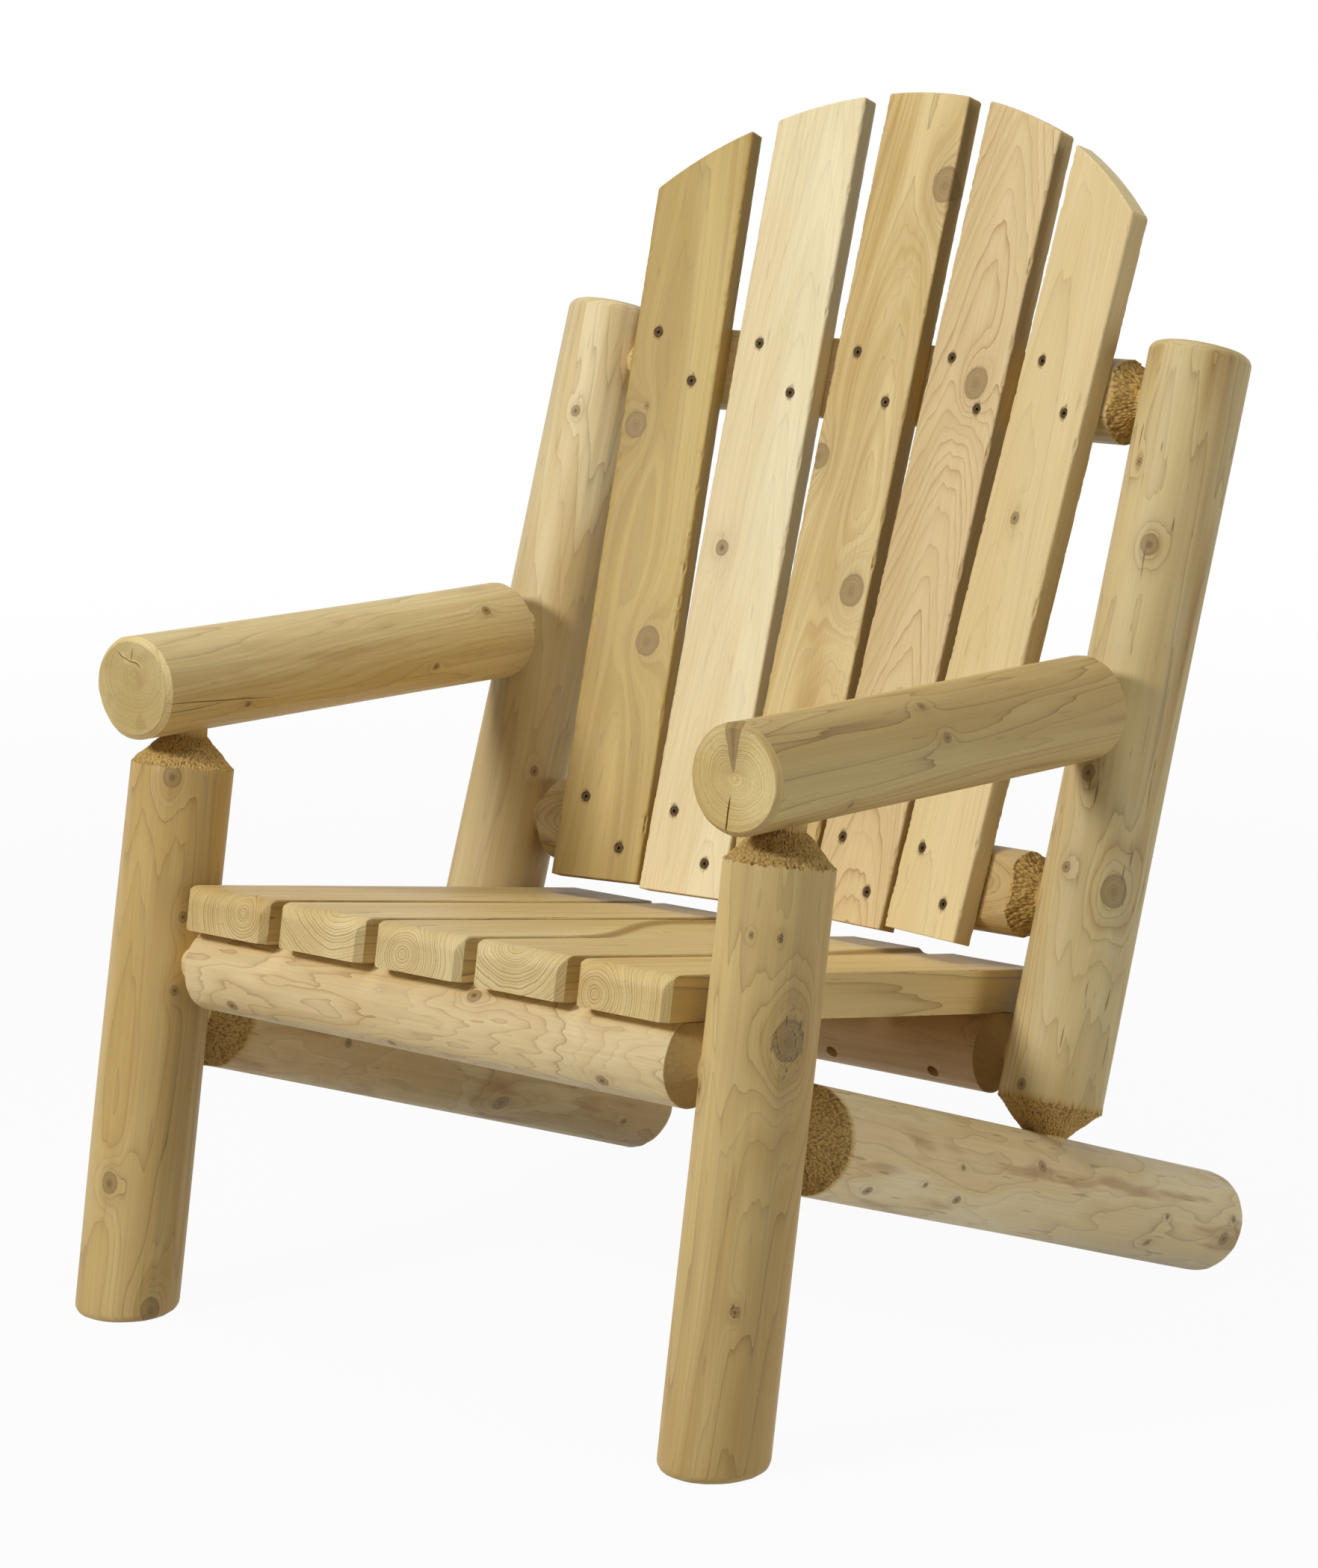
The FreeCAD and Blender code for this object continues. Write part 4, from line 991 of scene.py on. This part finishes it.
# %% Back slat frames
BACK_WIDTH, BACK_THICK, BACK_SLATS = 0.094, 0.022, 5
FOOT_BELOW_RAIL, CROWN_ABOVE_RAIL, FAN_BELOW_CROWN, ARCH_R = 0.0545, 0.279, 0.052, 0.404
BACK_FOOT, CROWN = LOWER_UP - FOOT_BELOW_RAIL, UPPER_UP + CROWN_ABOVE_RAIL
FAN_LOW, FAN_HIGH = math.radians(5.0), math.radians(6.08)


def on_hollow(angle, up):
    forward = post_front * (HOLLOW_R * (1 - math.cos(angle)))
    return post_base + post_way * up + RIGHT * (HOLLOW_R * math.sin(angle)) + forward


def slat_place(number):
    k = from_middle(number, BACK_SLATS)
    foot = on_hollow(k * FAN_LOW, BACK_FOOT)
    up = (on_hollow(k * FAN_HIGH, CROWN - FAN_BELOW_CROWN) - foot).normalized()
    turn = k * (FAN_LOW + FAN_HIGH) / 2
    across = RIGHT * math.cos(turn) + post_front * math.sin(turn)
    across = (across - up * across.dot(up)).normalized()
    return stand(foot, up, across)


print("slat feet", [[round(v, 3) for v in slat_place(n).translation] for n in range(1, BACK_SLATS + 1)])

# %% [markdown]
# Each back slat has its own tone and grain, and two screws at each rail, set slantwise. Its faces are planed
# and its long edges are left from the saw, some rougher and browner than others; the brown on those edges is
# partly the sawn wood's own colour and partly painted shade for the narrow gaps between the slats. A screw hole
# is a cutter with a ragged mouth: the wood splits a little along the grain where the head went in.

# %% Back slats
SLAT_COLUMNS, SLAT_STEP, SLAT_REACH, TOP_STEPS = 16, 0.003, 0.75, 4
SLAT_EASE, SLAT_BACK_EASE, SLAT_FOOT_EASE = 0.0026, 0.0015, 0.0006
SCREW_SIDE, SCREW_RISE = 0.022, 0.023
SLAT_GRAIN = dict(thin=18.0, along=1.0, crowd=3.2)
SLAT_KNOT_AIM = tuple(Vector((0.1, -1, 0.2)).normalized())
SAWN_FROM, HALF_DEEP, BACK_DRIFT, HOLE_SEED = 0.9, 0.5, (3.1, 7.7, 1.3), 5.3
# How rough and brown each slat's sawn sides are; the brown is partly painted shade of the gaps between slats.
ROUGH_EDGE_AND_SHADE = {1: 0.25, 2: 0.1, 3: 0.6, 4: 0.5, 5: 0.2}
BACK_LOOKS = {
    1: dict(pale=tint(209, 182, 112), deep=tint(182, 152, 83), pith=(-0.012, 0.030), warp=0.022, taper=0.035,
            ring=0.0030, line_share=0.45),
    2: dict(pale=tint(246, 230, 186), deep=tint(236, 216, 166), pith=(0.012, 0.070), warp=0.020, taper=0.05,
            ring=0.0036, line_share=0.25),
    3: dict(pale=tint(231, 207, 147), deep=tint(198, 164, 98), pith=(0.016, 0.040), warp=0.026, taper=0.05,
            ring=0.0024, line_share=0.55),
    4: dict(pale=tint(229, 204, 152), deep=tint(215, 187, 132), line=tint(168, 118, 76), pith=(0.004, 0.030),
            warp=0.022, taper=0.11, ring=0.0034, line_share=0.9, thin=8.0),
    5: dict(pale=tint(238, 217, 164), deep=tint(230, 205, 148), pith=(-0.020, 0.050), warp=0.016, taper=0.04,
            ring=0.0038, line_share=0.3),
}
BACK_KNOTS = {
    1: [(-0.031, 0.444, 0.0105), (0.018, 0.233, 0.0115), (-0.022, 0.464, 0.003)],
    2: [(-0.022, 0.335, 0.0065)],
    3: [(0.040, 0.702, 0.014), (-0.041, 0.433, 0.010), (0.028, 0.308, 0.0125)],
    4: [(0.014, 0.514, 0.0125)],
    5: [(-0.007, 0.390, 0.005)],
}
HOLE_SIDES = 28
HOLE_LEVELS = ((-0.004, 0.0052, 1), (0.0, 0.0052, 1), (0.0012, 0.0047, 0), (0.0052, 0.0026, 0),
               (0.018, 0.0025, 0))
HOLE_WILD, WILD_PACE, HOLE_SPLIT, SPLIT_PACE, SPLIT_LEVEL, SPLIT_THIN = 0.0008, 2.3, 0.0045, 1.7, 0.5, 6


def ragged_cutter(spot, seed):
    """Screw hole in a board's front: a torn mouth, a round seat for the head and a narrow bore."""
    rows = []
    for level, radius, tear in HOLE_LEVELS:
        row = []
        for step, turn in enumerate(whole_turn(HOLE_SIDES)):
            c, s = math.cos(turn), math.sin(turn)
            wild = noise.noise(Vector((c * WILD_PACE, s * WILD_PACE, seed)))
            split = max(0.0, noise.noise(Vector((step * SPLIT_PACE, seed, SPLIT_LEVEL)))) * abs(s) ** SPLIT_THIN
            reach = radius + tear * (HOLE_WILD * wild + HOLE_SPLIT * split)
            row.append(spot + Vector((reach * c, level, reach * s)))
        rows.append(row)
    return tube(rows, flip=True)


def back_slat(number):
    node = "back_slat_%d" % number
    place = slat_place(number)
    arch = place.inverted() @ (post_base + post_way * (CROWN - ARCH_R))
    drift = drift_of(number, BACK_DRIFT)
    loop = section(BACK_WIDTH, BACK_THICK, SLAT_EASE, SLAT_BACK_EASE, SLAT_COLUMNS)
    steps = int(SLAT_REACH / SLAT_STEP)
    levels = [(0.0, SLAT_FOOT_EASE, 0.0), (SLAT_FOOT_EASE, 0.0, 0.0)]
    levels += [(0.0, 0.0, i / steps) for i in range(1, steps)]
    points = []

    def arch_at(x):
        return arch.z + math.sqrt(ARCH_R ** 2 - (x - arch.x) ** 2)

    for lift, inset, share in levels:
        for x, y, fx, fy in loop:
            height = lift + share * (arch_at(x) - SLAT_EASE)
            inward = inset + chipped(x, y, (fx, fy), height, drift, 1.0)
            points.append(Vector((x - fx * inward, y - fy * inward, height)))
    for turn in quarter(TOP_STEPS):
        inset, below = SLAT_EASE * (1 - math.cos(turn)), SLAT_EASE * (1 - math.sin(turn))
        for x, y, fx, fy in loop:
            points.append(Vector((x - fx * inset, y - fy * inset, arch_at(x - fx * inset) - below)))
    loops = len(points) // len(loop)
    up_way = place.to_3x3() @ UP
    rail_levels = [(rail_up - BACK_FOOT) / up_way.dot(post_way) for rail_up in (LOWER_UP, UPPER_UP)]
    screws = [Vector((way * SCREW_SIDE, -BACK_THICK, level - way * SCREW_RISE))
              for level in rail_levels for way in (-1, 1)]
    knots = [((x, -BACK_THICK, z), SLAT_KNOT_AIM, size) for x, z, size in BACK_KNOTS[number]]
    material = cedar(node + "_cedar", 30.0 + number, knots=knots, screws=[tuple(spot) for spot in screws],
                     **{**SLAT_GRAIN, **BACK_LOOKS[number]})
    # The long sides get the torn brown: partly the sawn wood's colour, partly painted shade.
    sawn_and_shade = [ROUGH_EDGE_AND_SHADE[number] if abs(fx) > SAWN_FROM else 0.0 for _, _, fx, _ in loop] * loops
    faces = board_faces(len(loop), SLAT_COLUMNS, loops)
    piece = finish_piece(node, points, faces, place, material, sawn_and_shade, [HALF_DEEP] * len(points))
    cut_away(piece, [ragged_cutter(spot, number * HOLE_SEED + i) for i, spot in enumerate(screws)])
    return piece


for number in range(1, BACK_SLATS + 1):
    print(back_slat(number).name)

# %% [markdown]
# Seat slats. Five thick boards slope down to the rear. The front upper edge of each is rounded over for the
# sitter's knees, its two front corners are clipped, and the sawn front end shows the rings, some with the pith
# in the board. The middle slat was sawn from the outside of its tree, so towards the rear its top falls away in
# a curve behind a small step: a waney edge. A brown band of painted shade lies along that step. Its right-hand
# neighbour has a little of it too.

# %% Seat slats
SEAT_WIDTH, SEAT_THICK, SEAT_FRONT, SEAT_REAR = 0.100, 0.040, 0.046, 0.0526
SEAT_ROUND, SEAT_CORNER, SEAT_EASE, SEAT_BACK_EASE, SEAT_END_EASE = 0.015, 0.006, 0.0014, 0.0012, 0.001
SEAT_LENGTH = SEAT_FRONT + (rear_rail_at - front_rail_at).length + SEAT_REAR
SEAT_COLUMNS, SEAT_STEP, NOSE_STEPS, SEAT_CHIPS, SEAT_DRIFT = 60, 0.003, 10, 0.6, (5.9, 1.7, 8.3)
SEAT_PALE = tint(230, 208, 152), tint(214, 187, 126)
SEAT_WOOD = {1: (tint(220, 195, 137), tint(202, 171, 107)), 5: (tint(228, 202, 138), tint(212, 180, 113))}
SEAT_GRAIN = dict(thin=8.0, wander=0.008, along=1.0, taper=0.012)
SEAT_LOOKS = {
    1: dict(pith=(0.024, -0.024), warp=0.010, ring=0.0026),
    2: dict(pith=(0.018, -0.064), warp=0.016, ring=0.0030),
    3: dict(pith=(-0.015, -0.016), warp=0.012, ring=0.0025),
    4: dict(pith=(-0.006, -0.052), warp=0.016, ring=0.0028),
    5: dict(pith=(-0.026, -0.014), warp=0.010, ring=0.0026),
}
WANEY = {3: (0.145, 0.423, 1.0), 4: (0.30, 0.52, 0.22)}
WANEY_STEP, STEP_WIDE, WANEY_SLOPE, WANEY_ROUND = 0.0030, 0.005, 0.10, 0.30
# A brown band of painted shade along the step of a waney top: how strong it is, how far past the border it
# lies, and how wide it is.
STEP_SHADE_SHARE, STEP_SHADE_MIDDLE, STEP_SHADE_WIDE, TOP_FACING = 0.85, 0.003, 0.004, -0.5


def nose_height(along):
    """Thickness of a slat near its rounded front."""
    if along >= SEAT_ROUND:
        return SEAT_THICK
    return SEAT_THICK - SEAT_ROUND + math.sqrt(SEAT_ROUND ** 2 - (SEAT_ROUND - along) ** 2)


def past_border(number, x, along):
    """Distance across the slat beyond the border of its waney part, below zero before it."""
    if number not in WANEY or along < WANEY[number][0]:
        return -1.0
    start, end, reach = WANEY[number]
    share = min(1.0, (along - start) / (end - start))
    return x - SEAT_WIDTH * (0.5 - reach * share * share * (3 - 2 * share))


def waney_drop(number, x, along):
    """How far the waney slat's top lies below its plane, where the tree's own round side was left on."""
    beyond = past_border(number, x, along)
    if beyond <= 0:
        return 0.0
    step = WANEY_STEP * min(1.0, beyond / STEP_WIDE)
    return step + beyond * WANEY_SLOPE + beyond ** 2 / (2 * WANEY_ROUND)


def seat_slat(number):
    node = "seat_slat_%d" % number
    start = front_rail_at + seat_up * SEAT_FLAT - seat_way * SEAT_FRONT
    start += RIGHT * (from_middle(number, SEAT_SLATS) * SEAT_PITCH)
    drift = drift_of(number, SEAT_DRIFT)
    nose = sorted([SEAT_ROUND * (1 - math.cos(turn)) for turn in quarter(NOSE_STEPS)] + [SEAT_CORNER])
    steps = int(SEAT_LENGTH / SEAT_STEP)
    body = [SEAT_ROUND + (SEAT_LENGTH - SEAT_ROUND) * i / steps for i in range(1, steps + 1)]
    levels = [(along, 0.0) for along in nose + body]
    levels = [(0.0, SEAT_END_EASE)] + levels + [(SEAT_LENGTH, SEAT_END_EASE)]
    points, step_shade = [], []
    for along, inward in levels:
        tall = nose_height(along)
        wide = SEAT_WIDTH - 2 * max(0.0, SEAT_CORNER - along)
        for x, y, fx, fy in section(wide, tall, min(SEAT_EASE, tall / 3), SEAT_BACK_EASE, SEAT_COLUMNS):
            inset = inward + chipped(x, y, (fx, fy), along, drift, SEAT_CHIPS)
            sunk = waney_drop(number, x, along) * max(0.0, -y / tall)
            points.append(Vector((x - fx * inset, y - fy * inset + sunk, along)))
            # Painted shade: a brown band along the waney step, on the top face only.
            off_step_shade = (past_border(number, x, along) - STEP_SHADE_MIDDLE) / STEP_SHADE_WIDE
            step_shade.append(STEP_SHADE_SHARE * math.exp(-off_step_shade ** 2) if fy < TOP_FACING else 0.0)
    faces = board_faces(len(points) // len(levels), SEAT_COLUMNS, len(levels))
    material = cedar(node + "_cedar", 40.0 + number, *SEAT_WOOD.get(number, SEAT_PALE), **SEAT_GRAIN,
                     **SEAT_LOOKS[number])
    # The band of painted shade goes in as the torn colour.
    return finish_piece(node, points, faces, stand(start, seat_way), material, step_shade,
                        [HALF_DEEP] * len(points))


for number in range(1, SEAT_SLATS + 1):
    print(seat_slat(number).name, round(SEAT_LENGTH, 4))

# %% [markdown]
# Screws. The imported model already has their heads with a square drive, so they stay and only get a finish:
# zinc that has gone dull, with darker stains in patches.

# %% Screws
ZINC_DULL, ZINC_STAIN = tint(112, 90, 62), tint(62, 46, 28)
ZINC_CLOUDS, ZINC_RANGE, ZINC_ROUGH = (900, 900, 900), (0.35, 0.65), (0.3, 0.45)
ZINC_METAL, ZINC_SHEEN = 0.15, 0.1


def dull_zinc():
    material, tree, surface = new_material("dull_zinc")
    stain = clouds(add(tree, "ShaderNodeTexCoord")["Object"], ZINC_CLOUDS, detail=4.0)
    feed(tree, surface, {
        "Base Color": mix(spread(stain, *ZINC_RANGE), ZINC_DULL, ZINC_STAIN),
        "Roughness": stain.does("MULTIPLY_ADD", *ZINC_ROUGH),
        "Metallic": ZINC_METAL,
        "Specular IOR Level": ZINC_SHEEN,
    })
    return material


zinc = dull_zinc()
for node in ("back_screws_upper", "back_screws_lower", "seat_screws_front", "seat_screws_rear"):
    screws = frame["nodes"][node]
    screws.data.materials.clear()
    screws.data.materials.append(zinc)
print("screws", zinc.name)

# %% [markdown]
# The floor is a pale round sheet. Seen straight by the camera it is nearly white and keeps the chair's soft
# shadow, and further out it fades to the plain white of the world behind, so no line shows where it ends.

# %% Floor
FLOOR_RADIUS, FLOOR_SIDES, FLOOR_TONE, FLOOR_ROUGH = 14.0, 64, (0.6, 0.6, 0.6, 1), 0.9
FADE = (1.2, 5.0, 0.95, 1.0)


def seen_straight(tree):
    """1 for rays that show the background: straight to the camera, in a reflection or through glass."""
    rays = add(tree, "ShaderNodeLightPath")
    mirrored = rays["Is Glossy Ray"].does("MAXIMUM", rays["Is Transmission Ray"])
    return mirrored.does("MAXIMUM", rays["Is Camera Ray"])


corners = [(FLOOR_RADIUS * math.cos(turn), FLOOR_RADIUS * math.sin(turn), 0)
           for turn in whole_turn(FLOOR_SIDES)]
floor = put("floor", new_mesh("floor", corners, [tuple(range(FLOOR_SIDES))]))
pale_floor, tree, surface = new_material("pale_floor")
feed(tree, surface, {"Base Color": FLOOR_TONE, "Roughness": FLOOR_ROUGH})
fade = spread(add(tree, "ShaderNodeTexCoord")["Object"].does("LENGTH"), *FADE)
glow = add(tree, "ShaderNodeEmission", {"Color": WHITE, "Strength": 1.0})[0]
inputs = {0: fade * seen_straight(tree), 1: Outputs(tree, surface)[0], 2: glow}
feed(tree, tree.nodes["Material Output"], {"Surface": add(tree, "ShaderNodeMixShader", inputs)[0]})
floor.data.materials.append(pale_floor)
print("floor radius", FLOOR_RADIUS)

# %% [markdown]
# Light. One soft lamp stands before the chair, a little to the picture's left and not very high, so the faces
# that look forward are bright and the right-hand sides fall into shade. A broad lamp overhead lights the tops.
# A wide lamp far off on the right, a weak one low down there, and a dim world keep the shadows open.

# %% Light
DIM_WORLD = 0.02
chair_middle = Vector((0, 0, 0.55))
LAMPS = (
    ("key_lamp", chair_middle + toward(-18, 28) * 3.6, chair_middle, 0.7, 80),
    ("top_lamp", Vector((0.2, 0.0, 3.2)), chair_middle, 2.0, 30),
    ("side_lamp", Vector((4.6, 0.6, 1.0)), Vector((0, 0, 0.4)), 2.0, 38),
    ("low_lamp", Vector((2.4, 0.6, 0.25)), Vector((0.3, 0.15, 0.25)), 1.0, 4),
)
for name, place, aim, size, power in LAMPS:
    lamp = bpy.data.lights.new(name, "AREA")
    lamp.shape = "DISK"
    lamp.size = size
    lamp.energy = power
    put_looking(name, lamp, place, aim - place)
world = bpy.data.worlds.new("studio")
bpy.context.scene.world = world
world.use_nodes = True
tree = world.node_tree
strength = spread(seen_straight(tree), 0.0, 1.0, DIM_WORLD, 1.0)
feed(tree, tree.nodes["Background"], {"Color": WHITE, "Strength": strength})
bpy.context.scene.view_settings.view_transform = "Standard"

# %% [markdown]
# Last, the scene is brought up to date.

# %% Bring the scene up to date
bpy.context.view_layer.update()
